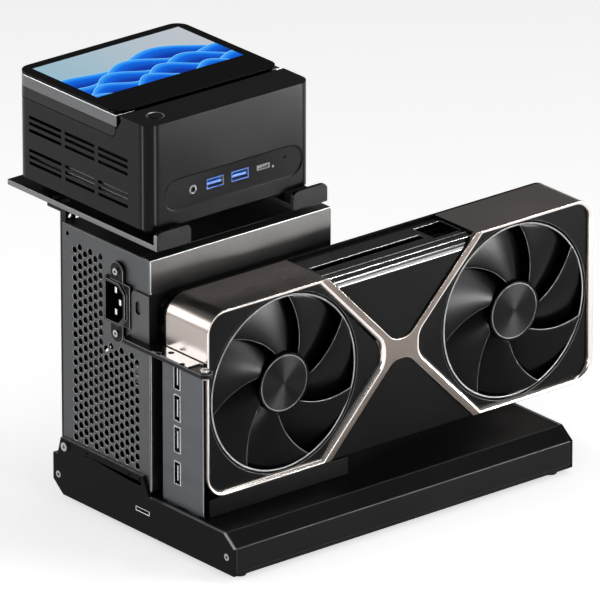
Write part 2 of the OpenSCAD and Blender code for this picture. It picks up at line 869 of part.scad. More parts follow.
// Screws of the tower: inlet, port plate, fan and corner bracket
module psu_screws() color("#a4a6aa") {
  for (side = [-1, 1])
    translate([psu_x - iec_flange_t, iec_y, iec_z + side * iec_screw_gap / 2]) rotate([0, -90, 0])
      screw(m25_r, m25_head_r, m25_head_h, iec_flange_t + psu_t + m25_head_h);
  translate([0, psu_y1 - psu_hole_in_y, psu_z + psu_hole_in_z]) rotate([0, -90, 0])
    screw(m3_r, m3_head_r, m3_head_h, psu_x + psu_t + m3_head_h);
  at_fan_screws() translate([0, psu_y1, 0]) rotate([-90, 0, 0])
    screw(fan_screw_r - fit, m3_head_r, post_gap - fit, psu_t + fan_d / 4);
  for (z = [bracket_z + bracket_h / 4, bracket_z + 3 * bracket_h / 4])
    translate([psu_x + bracket_front * 2 / 3, psu_y - bracket_t, z]) rotate([90, 0, 0])
      screw(m3_r, m3_head_r, m3_head_h, bracket_t - fit);
}

module psu_fan_frame() color("#151517") {
  y1 = fan_y0 + fan_d;
  difference() {
    along_y(fan_y0, y1) translate([fan_cx - fan_size / 2, fan_cz - fan_size / 2])
      round_rect(fan_size, fan_size, foot_r);
    rod_y(fan_cx, fan_y0 + fan_strut_t, y1 + eps, fan_cz, fan_size / 2 - fan_tip_gap);
    difference() {
      rod_y(fan_cx, fan_y0 - eps, fan_y0 + fan_strut_t + eps, fan_cz, fan_size / 2 - fan_tip_gap);
      rod_y(fan_cx, fan_y0 - eps, fan_y0 + fan_strut_t + eps, fan_cz, fan_hub_r);
      for (a = [45:90:315]) translate([fan_cx, 0, fan_cz]) rotate([0, a, 0])
        span([0, fan_size / 2], [fan_y0 - eps, fan_y0 + fan_strut_t + eps],
             [-fan_strut_w / 2, fan_strut_w / 2]);
    }
    at_fan_screws() rod_y(0, fan_y0 - eps, y1 + eps, 0, fan_screw_r);
    rod_y(fan_cx, fan_y0 - eps, y1, fan_cz, fan_shaft_r + fit);
  }
}

// One fan blade as a thin swept and pitched sheet between two radii, along +Y from depth y0.
// It is a grid of points: steps outwards, cuts along the chord, each with a front and a back point.
module blade(r0, r1, y0, deep, thick, chord, sweep, steps = 6, cuts = 4) {
  rows = cuts + 1;
  pts = [for (i = [0:steps], j = [0:cuts], side = [0, 1]) let (
    s = i / steps,
    k = 2 * j / cuts - 1,
    r = r0 + (r1 - r0) * s,
    ang = sweep * pow(s, blade_curve_share) + k * chord / 2 * (blade_root_share + (1 - blade_root_share) * s),
    y = y0 + (deep - thick) * (1 - k) / 2 + side * thick)
    [r * cos(ang), y, r * sin(ang)]];
  sheets = [for (i = [0:steps - 1], j = [0:cuts - 1]) let (a = 2 * (i * rows + j), b = a + 2 * rows) each [
    [a, a + 2, b], [a + 2, b + 2, b], [a + 1, b + 1, a + 3], [a + 3, b + 1, b + 3]
  ]];
  ends = [for (j = [0:cuts - 1], i = [0, steps]) let (a = 2 * (i * rows + j))
    each i == 0 ? [[a, a + 1, a + 2], [a + 2, a + 1, a + 3]] : [[a, a + 2, a + 1], [a + 2, a + 3, a + 1]]];
  edges = [for (i = [0:steps - 1], j = [0, cuts]) let (a = 2 * (i * rows + j), b = a + 2 * rows)
    each j == 0 ? [[a, b, a + 1], [b, b + 1, a + 1]] : [[a, a + 1, b], [b, a + 1, b + 1]]];
  polyhedron(pts, concat(sheets, ends, edges));
}

module rotor(cx, y0, cz, hub, deep, tip, blade_y, blade_h, thick, chord, sweep) {
  translate([cx, 0, cz]) {
    rod_y(0, y0, y0 + deep, 0, hub);
    for (i = [0:blades - 1]) rotate([0, i * 360 / blades, 0])
      blade(hub - weld, tip, blade_y, blade_h, thick, chord, sweep);
  }
}

module psu_fan_rotor() color("#1d1d20") {
  y0 = fan_y0 + fan_strut_t + seat;
  deep = fan_d - fan_strut_t - 2 * seat - fan_blade_t;
  rotor(fan_cx, y0, fan_cz, fan_hub_r, deep, fan_size / 2 - 2 * fan_tip_gap,
        y0 + fan_blade_t, deep - 2 * fan_blade_t, fan_blade_t, psu_chord, psu_sweep);
  rod_y(fan_cx, fan_y0, y0 + weld, fan_cz, fan_shaft_r);
}

module psu_fan_grille() color("#2a2a2d") {
  outer = fan_open_r - fit;
  along_y(psu_y1 - grille_t, psu_y1) translate([fan_cx, fan_cz]) {
    for (i = [1:grille_rings]) difference() {
      circle(outer * i / grille_rings);
      circle(outer * i / grille_rings - grille_wire);
    }
    circle(outer / grille_rings);
    for (a = [45, 135]) rotate(a) square([2 * (outer - grille_wire / 2), grille_wire], center = true);
  }
}

module psu_board() color("#1f4d33") {
  inset = psu_t + psu_board_up;
  y0 = psu_y + psu_board_in;
  span([psu_x + inset, psu_x1 - inset], [y0, y0 + pcb_t], [psu_z + inset, psu_z1 - inset]);
}

module psu_heatsinks() color("#a9adb2") {
  y0 = psu_y + psu_board_in + pcb_t;
  x0 = psu_x + (psu_w - sink_l) / 2;
  for (s = sink_shares) translate([0, 0, psu_z + psu_h * s]) {
    span([x0, x0 + sink_l], [y0, y0 + sink_h], [0, sink_t]);
    for (i = [0:sink_fins - 1]) {
      x = x0 + i * (sink_l - sink_fin_t) / (sink_fins - 1);
      span([x, x + sink_fin_t], [y0 + sink_h / 3, y0 + sink_h], [sink_t - weld, sink_t + sink_fin_l]);
    }
  }
}

module psu_components() color("#3d3427") {
  y0 = psu_y + psu_board_in + pcb_t;
  mid = psu_z + psu_h / 2;
  span([fan_cx - coil_w / 2, fan_cx + coil_w / 2], [y0, y0 + coil_h], [mid - coil_h / 4, mid + coil_h / 2]);
  rod_y(fan_cx + coil_w, y0, y0 + cap_h, mid + cap_r / 3, cap_r);
  for (i = [0:small_caps - 1])
    rod_y(psu_x1 - psu_w / 4 + (i - small_caps / 2) * 2.6 * small_cap_r, y0, y0 + small_cap_h,
          psu_z + psu_h / 5, small_cap_r);
}

module cable_outlet() color("#121214") {
  y = psu_y + psu_d / 2;
  z = psu_z + psu_h / 4;
  difference() {
    union() {
      rod_x(psu_x1 - psu_t - outlet_lip, psu_x1 + outlet_lip, y, z, outlet_r);
      rod_x(psu_x1, psu_x1 + outlet_lip, y, z, outlet_r + outlet_lip);
      rod_x(psu_x1 - psu_t - outlet_lip, psu_x1 - psu_t, y, z, outlet_r + outlet_lip);
    }
    rod_x(psu_x1 - outlet_d, psu_x1 + outlet_d, y, z, outlet_r - outlet_lip);
  }
}

module corner_bracket() color("#3a3b3e") {
  x0 = psu_x - bracket_t;
  y0 = psu_y - bracket_t;
  hole_y = psu_y + bracket_hole_in;
  z1 = bracket_z + bracket_h;
  difference() {
    union() {
      along_x(x0, psu_x) translate([y0, bracket_z]) {
        square([bracket_side, bracket_h - bracket_corner_r]);
        square([bracket_side - bracket_corner_r, bracket_h]);
        translate([bracket_side - bracket_corner_r, bracket_h - bracket_corner_r]) circle(bracket_corner_r);
      }
      along_y(y0, psu_y) translate([x0, bracket_z]) {
        square([bracket_front, bracket_h - bracket_corner_r]);
        square([bracket_front - bracket_corner_r, bracket_h]);
        translate([bracket_front - bracket_corner_r, bracket_h - bracket_corner_r]) circle(bracket_corner_r);
      }
    }
    along_x(x0 - eps, psu_x + eps) translate([hole_y, bracket_z + bracket_hole_up]) {
      square([2 * bracket_hole_r, bracket_hole_l], center = true);
      for (side = [-1, 1]) translate([0, side * bracket_hole_l / 2]) circle(bracket_hole_r);
    }
    for (z = [bracket_z + bracket_h / 4, bracket_z + 3 * bracket_h / 4])
      rod_y(psu_x + bracket_front * 2 / 3, y0 - eps, psu_y + eps, z, m3_r + fit);
  }
}

module retention_bar() color("#2c2d30") {
  corner_y = psu_y - bracket_t - seat;
  inner_x = psu_x - port_gap;
  difference() {
    translate([0, 0, bar_z]) linear_extrude(bar_t) polygon([
      [bar_x0 + bar_t, bar_y0], [bar_x1 - bar_t, bar_y0], [bar_x1, bar_y0 + bar_t], [bar_x1, corner_y],
      [inner_x, corner_y], [inner_x, bar_y1], [bar_x0 + bar_t, bar_y1], [bar_x0, bar_y1 - bar_t],
      [bar_x0, bar_y0 + bar_t]
    ]);
    rod_z((bar_x0 + bar_x1) / 2, bar_y0 + bar_screw_in, bar_z - eps, bar_z + bar_t + eps, m3_r + fit);
  }
}

module tray_post(side) {
  x0 = side < 0 ? tray_x : tray_x + tray_w - post_w;
  rib_x = side < 0 ? x0 : x0 + post_w - post_rib_t;
  screw_x = side < 0 ? x0 + post_w / 2 + post_rib_t / 2 : x0 + post_w / 2 - post_rib_t / 2;
  y0 = psu_y1 + post_gap;
  y1 = y0 + post_t;
  difference() {
    union() {
      span([x0, x0 + post_w], [y0, y1], [base_h, tray_z]);
      span([x0, x0 + post_w], [y1 - weld, y1 + post_foot], [base_h, base_h + post_t]);
      span([x0, x0 + post_w], [y1 - weld, y1 + post_flange], [tray_z - post_t, tray_z]);
      span([rib_x, rib_x + post_rib_t], [y1 - weld, y1 + post_rib], [base_h, tray_z]);
    }
    rod_y(x0 + post_w / 2, y0 - eps, y1 + eps, tray_z - post_hole_down, post_hole_r);
    rod_z(screw_x, y1 + post_foot / 2, base_h - eps, base_h + post_t + eps, m25_r + fit);
    for (s = [1, 3])
      rod_z(screw_x, y1 + post_flange * s / 4 + weld, tray_z - post_t - eps, tray_z + eps, m3_r + fit);
  }
}

module tray_post_left() color("#38393c") tray_post(-1);

module tray_post_right() color("#38393c") tray_post(1);

module tray_outline() {
  difference() {
    translate([tray_x, tray_y]) square([tray_w, tray_d]);
    translate([tray_x + lip_w, tray_y - eps]) square([tray_w - 2 * lip_w, arm_d + eps]);
  }
}

module tray() color("#1c1c1e") {
  difference() {
    union() {
      translate([0, 0, tray_z]) linear_extrude(tray_t) tray_outline();
      for (x = [tray_x, tray_x + tray_w - lip_w]) along_y(tray_y, tray_y + lip_t) translate([x, tray_z]) {
        square([lip_w, lip_h - lip_r]);
        translate([lip_r, 0]) square([lip_w - 2 * lip_r, lip_h]);
        for (u = [lip_r, lip_w - lip_r]) translate([u, lip_h - lip_r]) circle(lip_r);
      }
    }
    for (side = [-1, 1]) at_tray_screws(side) {
      rod_z(0, 0, -eps, tray_t + eps, m3_r + fit);
      rod_z(0, 0, tray_t - m3_head_h, tray_t + eps, m3_head_r + fit);
    }
  }
}

module at_tray_screws(side) {
  x0 = side < 0 ? tray_x : tray_x + tray_w - post_w;
  screw_x = side < 0 ? x0 + post_w / 2 + post_rib_t / 2 : x0 + post_w / 2 - post_rib_t / 2;
  y1 = psu_y1 + post_gap + post_t;
  for (s = [1, 3]) translate([screw_x, y1 + post_flange * s / 4 + weld, tray_z]) children();
}

// Screws that hold the tray to its posts and the posts to the base, and the bar's end screw
module tray_screws() color("#7d7f83") {
  for (side = [-1, 1]) {
    at_tray_screws(side) translate([0, 0, tray_t - m3_head_h])
      screw(m3_r, m3_head_r, m3_head_h, tray_t - m3_head_h + post_t);
    x = side < 0 ? tray_x + post_w / 2 + post_rib_t / 2 : tray_x + tray_w - post_w / 2 - post_rib_t / 2;
    translate([x, psu_y1 + post_gap + post_t + post_foot / 2, base_h + post_t])
      screw(m25_r, m25_head_r, m25_head_h, post_screw_l);
  }
  translate([(bar_x0 + bar_x1) / 2, bar_y0 + bar_screw_in, bar_z + bar_t])
    screw(m3_r, m3_head_r, m3_head_h, bar_t + m3_head_h);
}

// The card's own flat frame: outlines in u and w, extruded from depth v0 to v1
module card_face(v0, v1) {
  translate([card_x, card_y + v1, card_z]) rotate([90, 0, 0]) linear_extrude(v1 - v0) children();
}

module card_box(u, v, w) {
  span([card_x + u[0], card_x + u[1]], [card_y + v[0], card_y + v[1]], [card_z + w[0], card_z + w[1]]);
}

module card_outline(inset = 0) {
  translate([inset, inset]) round_rect(card_l - 2 * inset, card_h - 2 * inset, card_r - inset);
}

// Points of the centre regions between the diagonal arms, moved in by half an arm on each side
function arm_shift(run, rise) = arm_w / 2 * norm([run, rise]) / abs(rise);

module mid_region(top, grow) {
  edge_w = top ? card_h + eps : -eps;
  near_w = top ? mid_w + mid_half : mid_w - mid_half;
  left_u = top ? top_cut_left : bottom_cut_left;
  right_u = top ? top_cut_right : bottom_cut_right;
  shift_l = grow * arm_shift(mid_left - left_u, edge_w - near_w) * 2;
  shift_r = grow * arm_shift(right_u - mid_right, edge_w - near_w) * 2;
  polygon([
    [left_u - shift_l, edge_w], [right_u + shift_r, edge_w],
    [mid_right + shift_r, near_w], [mid_left - shift_l, near_w]
  ]);
}

// Everything left of the arms' outer edges, and the same for the right
module side_region(right) {
  u_edge = right ? card_l + eps : -eps;
  dir = right ? 1 : -1;
  top_u = right ? top_cut_right : top_cut_left;
  low_u = right ? bottom_cut_right : bottom_cut_left;
  mid_u = right ? mid_right : mid_left;
  near_t = mid_w + mid_half;
  near_b = mid_w - mid_half;
  shift_t = dir * arm_shift(mid_u - top_u, card_h - near_t) * 2;
  shift_b = dir * arm_shift(mid_u - low_u, near_b) * 2;
  polygon([
    [u_edge, card_h + eps], [top_u + shift_t, card_h + eps], [mid_u + shift_t, near_t],
    [mid_u + shift_b, near_b], [low_u + shift_b, -eps], [u_edge, -eps]
  ]);
}

module card_frame() color("#8d857d") {
  card_face(0, face_t) difference() {
    card_outline();
    mid_region(true, 0);
    mid_region(false, 0);
    intersection() {
      card_outline(rim_w);
      union() {
        side_region(false);
        side_region(true);
      }
    }
  }
  // side walls behind the face: a hood round each end, open below for the card edge
  difference() {
    card_face(face_t - weld, card_d - back_t) difference() {
      card_outline();
      card_outline(wall_t);
      translate([top_cut_left, card_h / 2]) square([top_cut_right - top_cut_left, card_h]);
      translate([bottom_cut_left, -card_h / 2]) square([bottom_cut_right - bottom_cut_left, card_h]);
    }
    card_box([-eps, card_r / 2], [fan_in_v(), card_d], [card_r / 2, bar_z + bar_t - card_z]);
    card_box([-eps, jack_l], [jack_v - seat, card_d], [-eps, bar_z + bar_t - card_z]);
    card_box([card_r / 2, bottom_cut_left + eps], [card_pcb_v - seat, card_d], [-eps, wall_t + eps]);
  }
}

function fan_in_v() = panel_v + panel_t + seat;

module card_panels() color("#222225") {
  for (right = [false, true]) card_face(panel_v, panel_v + panel_t) difference() {
    intersection() {
      card_outline(wall_t + fit);
      side_region(right);
    }
    translate([right ? card_l - fan_u : fan_u, mid_w]) circle(fan_r);
    translate([top_cut_left, card_h - spine_drop - spine_round - fit])
      square([top_cut_right - top_cut_left, spine_round + spine_drop]);
  }
}

module card_spine() color("#2a2a2d") {
  top_w = card_h - spine_drop;
  u0 = top_cut_left + fit;
  u1 = top_cut_right - fit;
  b0 = bottom_cut_left + fit;
  b1 = bottom_cut_right - fit;
  v1 = card_d - back_t - fit;
  difference() {
    union() {
      // front panels between the arms, then the top and bottom walls behind them
      card_face(face_t, face_t + panel_t) {
        intersection() {
          mid_region(true, 1);
          translate([u0, 0]) square([u1 - u0, top_w]);
        }
        intersection() {
          mid_region(false, 1);
          translate([b0, 0]) square([b1 - b0, top_w]);
        }
      }
      card_face(spine_v, face_t + weld) {
        intersection() {
          mid_region(true, -fit);
          translate([0, 0]) square([card_l, top_w - spine_round]);
        }
        intersection() {
          mid_region(false, -fit);
          translate([0, 0]) square([card_l, top_w]);
        }
      }
      // the rounded top front edge
      translate([card_x, card_y, card_z]) rotate([90, 0, 90]) translate([0, 0, u0]) linear_extrude(u1 - u0)
        difference() {
          translate([spine_v + spine_round, top_w - spine_round]) circle(spine_round);
          translate([spine_v + spine_round, top_w - spine_round]) circle(spine_round - panel_t);
          translate([spine_v + spine_round, 0]) square([card_d, card_h]);
          square([card_d, top_w - spine_round]);
        }
      card_box([u0, u1], [spine_v + spine_round - weld, v1], [top_w - panel_t, top_w]);
      card_box([b0, b1], [face_t, card_pcb_v - seat], [0, panel_t]);
      // walls of the power recess
      card_box([recess_u - wall_t, recess_u + recess_l + wall_t],
           [recess_v - wall_t, recess_v + recess_w + wall_t],
               [top_w - recess_deep - wall_t, top_w]);
    }
    // the face frame's arms lie in front, and the recess and the long slot are open upward
    card_face(-eps, face_t) difference() {
      card_outline(-eps);
      mid_region(true, -fit);
      mid_region(false, -fit);
    }
    card_box([recess_u, recess_u + recess_l], [recess_v, recess_v + recess_w],
         [top_w - recess_deep, top_w + eps]);
    card_box([spine_slot_u, spine_slot_u + spine_slot_l],
             [card_d / 2 - spine_slot_w / 2, card_d / 2 + spine_slot_w / 2],
                  [top_w - panel_t - eps, top_w + eps]);
  }
}

module at_card_fans() {
  for (u = [fan_u, card_l - fan_u]) translate([card_x + u, 0, card_z + mid_w]) children();
}

// Rings behind the panels, with the struts and motor posts that carry the fans
module fan_mounts() color("#18181a") {
  ring_y = card_y + ring_v;
  back_y = ring_y + ring_d;
  motor_y = card_y + hub_v + hub_wall + seat;
  at_card_fans() difference() {
    union() {
      difference() {
        rod_y(0, ring_y, back_y, 0, fan_r + ring_t);
        rod_y(0, ring_y - eps, back_y + eps, 0, fan_r);
      }
      for (i = [0:mount_struts - 1]) rotate([0, 45 + i * 360 / mount_struts, 0])
        span([0, fan_r + weld], [back_y - mount_t, back_y], [-mount_strut_w / 2, mount_strut_w / 2]);
      rod_y(0, motor_y, back_y, 0, motor_r);
    }
    rod_y(0, motor_y - eps, back_y + eps, 0, shaft_r + fit);
  }
}

// A card fan: a cup over the motor, its shaft and the blades round it
module card_fan(cu) {
  cx = card_x + cu;
  cz = card_z + mid_w;
  cup_y = card_y + hub_v;
  back_y = card_y + ring_v + ring_d - mount_t - seat;
  difference() {
    rotor(cx, cup_y, cz, hub_r, back_y - cup_y, fan_r - blade_tip_gap - blade_ring_t / 2,
          card_y + blade_v, blade_deep, blade_t, blade_chord, blade_sweep);
    rod_y(cx, cup_y + hub_wall, back_y + eps, cz, motor_r + seat);
  }
  // the thin ring that joins the blade tips
  ring_y0 = card_y + blade_v - weld;
  ring_y1 = card_y + blade_v + blade_deep + weld;
  difference() {
    rod_y(cx, ring_y0, ring_y1, cz, fan_r - blade_tip_gap);
    rod_y(cx, ring_y0 - eps, ring_y1 + eps, cz, fan_r - blade_tip_gap - blade_ring_t);
  }
  rod_y(cx, cup_y + hub_wall - weld, back_y + seat, cz, shaft_r);
}

module card_fan_left() color("#161618") card_fan(fan_u);

module card_fan_right() color("#161618") card_fan(card_l - fan_u);

module card_fins() color("#9a9ea3") {
  inner = card_l / 2 - 1.5 * mid_half;
  w = [fin_in, card_h - fin_in - recess_deep];
  for (side = [0, 1]) translate([side * (2 * card_x + card_l), 0, 0]) mirror([side, 0, 0]) {
    first = side == 0 ? fin_jack_in : fin_in;
    card_box([first, inner], [fin_v + fin_d - weld, fin_v + fin_d + fin_base_t - pcb_t], w);
    for (u = [inner - fin_t:-fin_pitch:first]) card_box([u, u + fin_t], [fin_v, fin_v + fin_d], w);
  }
}

// Flattened pipes that join the two fin blocks, lying in front of the fins' base
module heat_pipes() color("#b87452") {
  gap_u = card_l / 2 - 1.5 * mid_half;
  for (s = pipe_w_shares)
    rod_x(card_x + gap_u + fit, card_x + card_l - gap_u - fit, card_y + fin_v + fin_d / 2,
          card_z + card_h * s, pipe_r);
}

module cold_plate() color("#c08a68") {
  v0 = fin_v + fin_d + fin_base_t - pcb_t;
  mid = pcb_u0 + pcb_l / 2;
  card_box([mid - plate_cold_l / 2, mid + plate_cold_l / 2], [v0, v0 + plate_cold_t],
           [mid_w - plate_cold_h / 2, mid_w + plate_cold_h / 2]);
}

module card_board() color("#10231a") {
  u_slot = slot_x - card_x;
  finger_u = u_slot + slot_end + 2 * slot_clear;
  finger_end = u_slot + slot_l - slot_end - 2 * slot_clear;
  difference() {
    union() {
      card_box([pcb_u0, pcb_u0 + pcb_l], [card_pcb_v, card_pcb_v + pcb_t], [wall_t + seat, pcb_h]);
      card_box([finger_u, finger_end], [card_pcb_v, card_pcb_v + pcb_t], [-finger_drop, wall_t + 2 * seat]);
    }
    card_box([u_slot + slot_key_u - slot_clear, u_slot + slot_key_u + slot_key_w + slot_clear],
             [card_pcb_v - eps, card_pcb_v + pcb_t + eps],
                  [-finger_drop - eps, -finger_drop + slot_groove_d]);
  }
}

module card_chips() color("#2b2b30") {
  mid = pcb_u0 + pcb_l / 2;
  v1 = card_pcb_v;
  v0 = fin_v + fin_d + fin_base_t - pcb_t + plate_cold_t;
  card_box([mid - gpu_l / 2, mid + gpu_l / 2], [v0, v1], [mid_w - gpu_l / 2, mid_w + gpu_l / 2]);
  for (i = [-1, 0, 1], side = [-1, 1])
    card_box([mid + side * (gpu_l / 2 + chip_l) - chip_l / 2, mid + side * (gpu_l / 2 + chip_l) + chip_l / 2],
             [v1 - chip_t, v1],
                  [mid_w + i * 1.4 * chip_l - chip_l / 2, mid_w + i * 1.4 * chip_l + chip_l / 2]);
}

module card_bracket() color("#8b9198") {
  top_z = bar_z + bar_t + brk_t;
  x1 = brk_x + brk_t;
  flange_x0 = x1 - brk_flange_out - brk_t;
  tongue_y = [brk_y0 + brk_w / 2 - brk_pitch / 2, brk_y0 + brk_w / 2 + brk_pitch / 2];
  difference() {
    union() {
      span([brk_x, x1], [brk_y0, brk_y0 + brk_w], [base_h + seat, top_z]);
      span([flange_x0, x1], [brk_flange_y0, brk_flange_y0 + brk_flange_l], [top_z - brk_t, top_z]);
      for (y = tongue_y)
        span([brk_x, x1], [y - brk_tongue_w / 2, y + brk_tongue_w / 2],
             [base_h - brk_tongue, base_h + 2 * seat]);
      // two ears that reach back to the card's board
      for (w = brk_ear_w)
        span([x1 - weld, card_x + pcb_u0 + 2 * brk_t], [card_y + card_pcb_v - brk_t, card_y + card_pcb_v],
             [card_z + w, card_z + w + brk_tongue_w / 2]);
    }
    for (i = [0, 1])
      rod_z(flange_x0, brk_flange_y0 + brk_flange_l * (i + 0.25) / 1.5, top_z - brk_t - eps, top_z + eps,
            brk_notch_r);
    rod_z(x1 - brk_hole_r - 2 * brk_t, brk_flange_y0 + brk_flange_l * 0.7, top_z - brk_t - eps, top_z + eps,
          brk_hole_r);
    for (w = jack_w) jack_hole(w, jack_h);
    jack_hole(hdmi_w, hdmi_h);
  }
}

module jack_hole(w, h) {
  span([brk_x - eps, brk_x + brk_t + eps], [card_y + jack_v - fit, card_y + jack_v + jack_d + fit],
       [card_z + w - h / 2 - fit, card_z + w + h / 2 + fit]);
}

module jack(w, h) {
  x0 = brk_x - jack_out;
  difference() {
    union() {
      span([x0, x0 + jack_l], [card_y + jack_v, card_y + jack_v + jack_d],
           [card_z + w - h / 2, card_z + w + h / 2]);
      span([x0 + 2 * jack_wall + brk_t + jack_out, x0 + jack_l], [card_y + jack_v, card_y + card_pcb_v],
           [card_z + w - h / 2, card_z + w + h / 2]);
    }
    span([x0 - eps, x0 + jack_l - jack_wall],
         [card_y + jack_v + jack_wall, card_y + jack_v + jack_d - jack_wall],
         [card_z + w - h / 2 + jack_wall, card_z + w + h / 2 - jack_wall]);
  }
  span([x0 + jack_wall, x0 + jack_l - weld],
       [card_y + jack_v + jack_d * 0.42, card_y + jack_v + jack_d * 0.58],
       [card_z + w - h / 3, card_z + w + h / 3]);
}

module display_ports() color("#c4c7cb") {
  for (w = jack_w) jack(w, jack_h);
  jack(hdmi_w, hdmi_h);
}

module power_socket() color("#101012") {
  top_w = card_h - spine_drop - recess_deep;
  wall = wall_t / 2;
  difference() {
    card_box([recess_u + wall, recess_u + recess_l - wall],
         [recess_v + recess_w / 2, recess_v + recess_w - wall],
             [top_w, top_w + recess_deep / 2]);
    card_box([recess_u + 2 * wall, recess_u + recess_l - 2 * wall],
             [recess_v + recess_w / 2 + wall, recess_v + recess_w - 2 * wall],
             [top_w + wall, top_w + recess_deep]);
  }
}

module card_backplate() color("#2d2d30") {
  difference() {
    card_face(card_d - back_t, card_d) card_outline();
    for (i = [0:back_slots - 1])
      card_box([back_slot_u + i * back_pitch, back_slot_u + i * back_pitch + back_slot_w],
               [card_d - back_t - eps, card_d + eps], [back_slot_z, back_slot_z + back_slot_l]);
  }
}

module mini_outline(inset = 0) {
  translate([mini_x + inset, mini_y + inset])
    round_rect(mini_w - 2 * inset, mini_d - 2 * inset, mini_r - inset);
}

// The space that the tilting screen lies in: a trough open to the rear, round at the hinge
module screen_space() {
  floor_z = screen_z0 - screen_gap;
  front = hinge_y - seat;
  along_x(mini_x - eps, mini_x + mini_w + eps) {
    polygon(concat(
      arc([front + cut_r, floor_z + cut_r], cut_r, 180, 270),
      [[mini_y + mini_d + eps, floor_z], [mini_y + mini_d + eps, mini_z1 + eps], [front, mini_z1 + eps]]
    ));
    intersection() {
      translate([hinge_y, hinge_z]) circle(hinge_clear);
      translate([hinge_y - hinge_clear, hinge_z]) square([2 * hinge_clear, hinge_clear]);
    }
    polygon([[hinge_y - hinge_clear, hinge_z], [front, hinge_z - cheek_h], [hinge_y + eps, hinge_z - cheek_h],
             [hinge_y + eps, hinge_z + eps], [hinge_y - hinge_clear / 2, hinge_z + eps]]);
  }
}

module at_lugs() {
  for (x = [mini_x + lug_in, mini_x + mini_w - lug_in - lug_w]) translate([x, 0, 0]) children();
}

module mini_case() color("#2a2b2e") {
  deck_z1 = screen_z0 - screen_gap;
  difference() {
    union() {
      difference() {
        translate([0, 0, mini_z]) linear_extrude(mini_h) mini_outline();
        translate([0, 0, mini_z - eps]) linear_extrude(mini_h - mini_t + eps) mini_outline(mini_t);
        screen_space();
      }
      // deck under the screen and the lugs that carry the hinge pins
      translate([0, 0, deck_z1 - deck_t]) linear_extrude(deck_t) intersection() {
        mini_outline(mini_t - weld);
        translate([mini_x, hinge_y]) square([mini_w, mini_d]);
      }
      at_lugs() {
        rod_x(0, lug_w, hinge_y, hinge_z, lug_r);
        span([0, lug_w], [hinge_y - lug_r, hinge_y + lug_r], [deck_z1 - deck_t, hinge_z]);
      }
    }
    at_lugs() rod_x(-eps, lug_w + eps, hinge_y, hinge_z, hinge_pin_r + fit);
    for (up = vent_rows_up, side = [0, 1]) for (piece = vent_pieces())
      span([mini_x + side * (mini_w - mini_t) - eps, mini_x + side * (mini_w - mini_t) + mini_t + eps],
           [mini_y + piece[0], mini_y + piece[1]], [mini_z + up - vent_h / 2, mini_z + up + vent_h / 2]);
    // recess and cut-out of the port panel, and the power button's bore with its ring
    pill(mini_y - eps, mini_y + pill_deep, 0);
    pill(mini_y, mini_y + mini_t + eps, -pill_deep);
    rod_z(mini_x + button_x, mini_y + button_y, mini_z1 - mini_t - eps, mini_z1 + eps, button_r + fit);
    rod_z(mini_x + button_x, mini_y + button_y, mini_z1 - button_ring_deep, mini_z1 + eps, button_ring_r);
  }
}

function vent_pieces() = [
  [vent_y0, vent_break_y[0] - vent_break / 2],
       [vent_break_y[0] + vent_break / 2, vent_break_y[1] - vent_break / 2],
  [vent_break_y[1] + vent_break / 2, vent_y1]
];

module pill(y0, y1, grow) {
  h = pill_z1 - pill_z0 + 2 * grow;
  along_y(y0, y1) translate([mini_x + pill_x0 - grow, mini_z + pill_z0 - grow])
    round_rect(pill_x1 - pill_x0 + 2 * grow, h, h / 2 - weld);
}

module mini_bottom() color("#202123") {
  difference() {
    translate([0, 0, mini_z]) linear_extrude(mini_t) mini_outline(mini_t + bottom_gap);
    at_mini_feet() rod_z(0, 0, mini_z - eps, mini_z + mini_t + eps, m25_r + fit);
  }
}

module at_mini_feet() {
  for (x = [mini_foot_in, mini_w - mini_foot_in], y = [mini_foot_in, mini_d - mini_foot_in])
    translate([mini_x + x, mini_y + y, 0]) children();
}

// Rubber feet with a stem pressed through the bottom plate
module mini_feet() color("#151515") {
  at_mini_feet() {
    rod_z(0, 0, tray_top, mini_z, mini_foot_r);
    rod_z(0, 0, mini_z - weld, mini_z + mini_t, m25_r);
  }
}

module at_mini_posts() {
 
  for (x = [mini_foot_in + mini_r, mini_w - mini_foot_in - mini_r],
       y = [mini_foot_in + mini_r, mini_d - mini_foot_in])
    translate([mini_x + x, mini_y + y, 0]) children();
}

module mini_board() color("#14503a") {
  z0 = mini_z + mini_board_up;
  inset = mini_r / 2;
  span([mini_x + inset, mini_x + mini_w - inset],
       [mini_y + mini_t + pill_deep + port_depth / 6, mini_y + mini_d - mini_r], [z0, z0 + pcb_t]);
  at_mini_posts() rod_z(0, 0, mini_z + mini_t, z0 + weld, standoff_r);
}

module mini_cooler() color("#a5a9ae") {
  x0 = mini_x + (mini_w - cooler_w) / 2;
  y0 = mini_y + mini_d - mini_r - cooler_w;
  z0 = mini_z + mini_board_up + pcb_t;
  span([x0, x0 + cooler_w], [y0, y0 + cooler_w], [z0, z0 + shell_t]);
  for (i = [0:cooler_fins - 1]) {
    x = x0 + i * (cooler_w - cooler_fin_t) / (cooler_fins - 1);
    span([x, x + cooler_fin_t], [y0, y0 + cooler_w], [z0 + shell_t - weld, z0 + cooler_h]);
  }
}

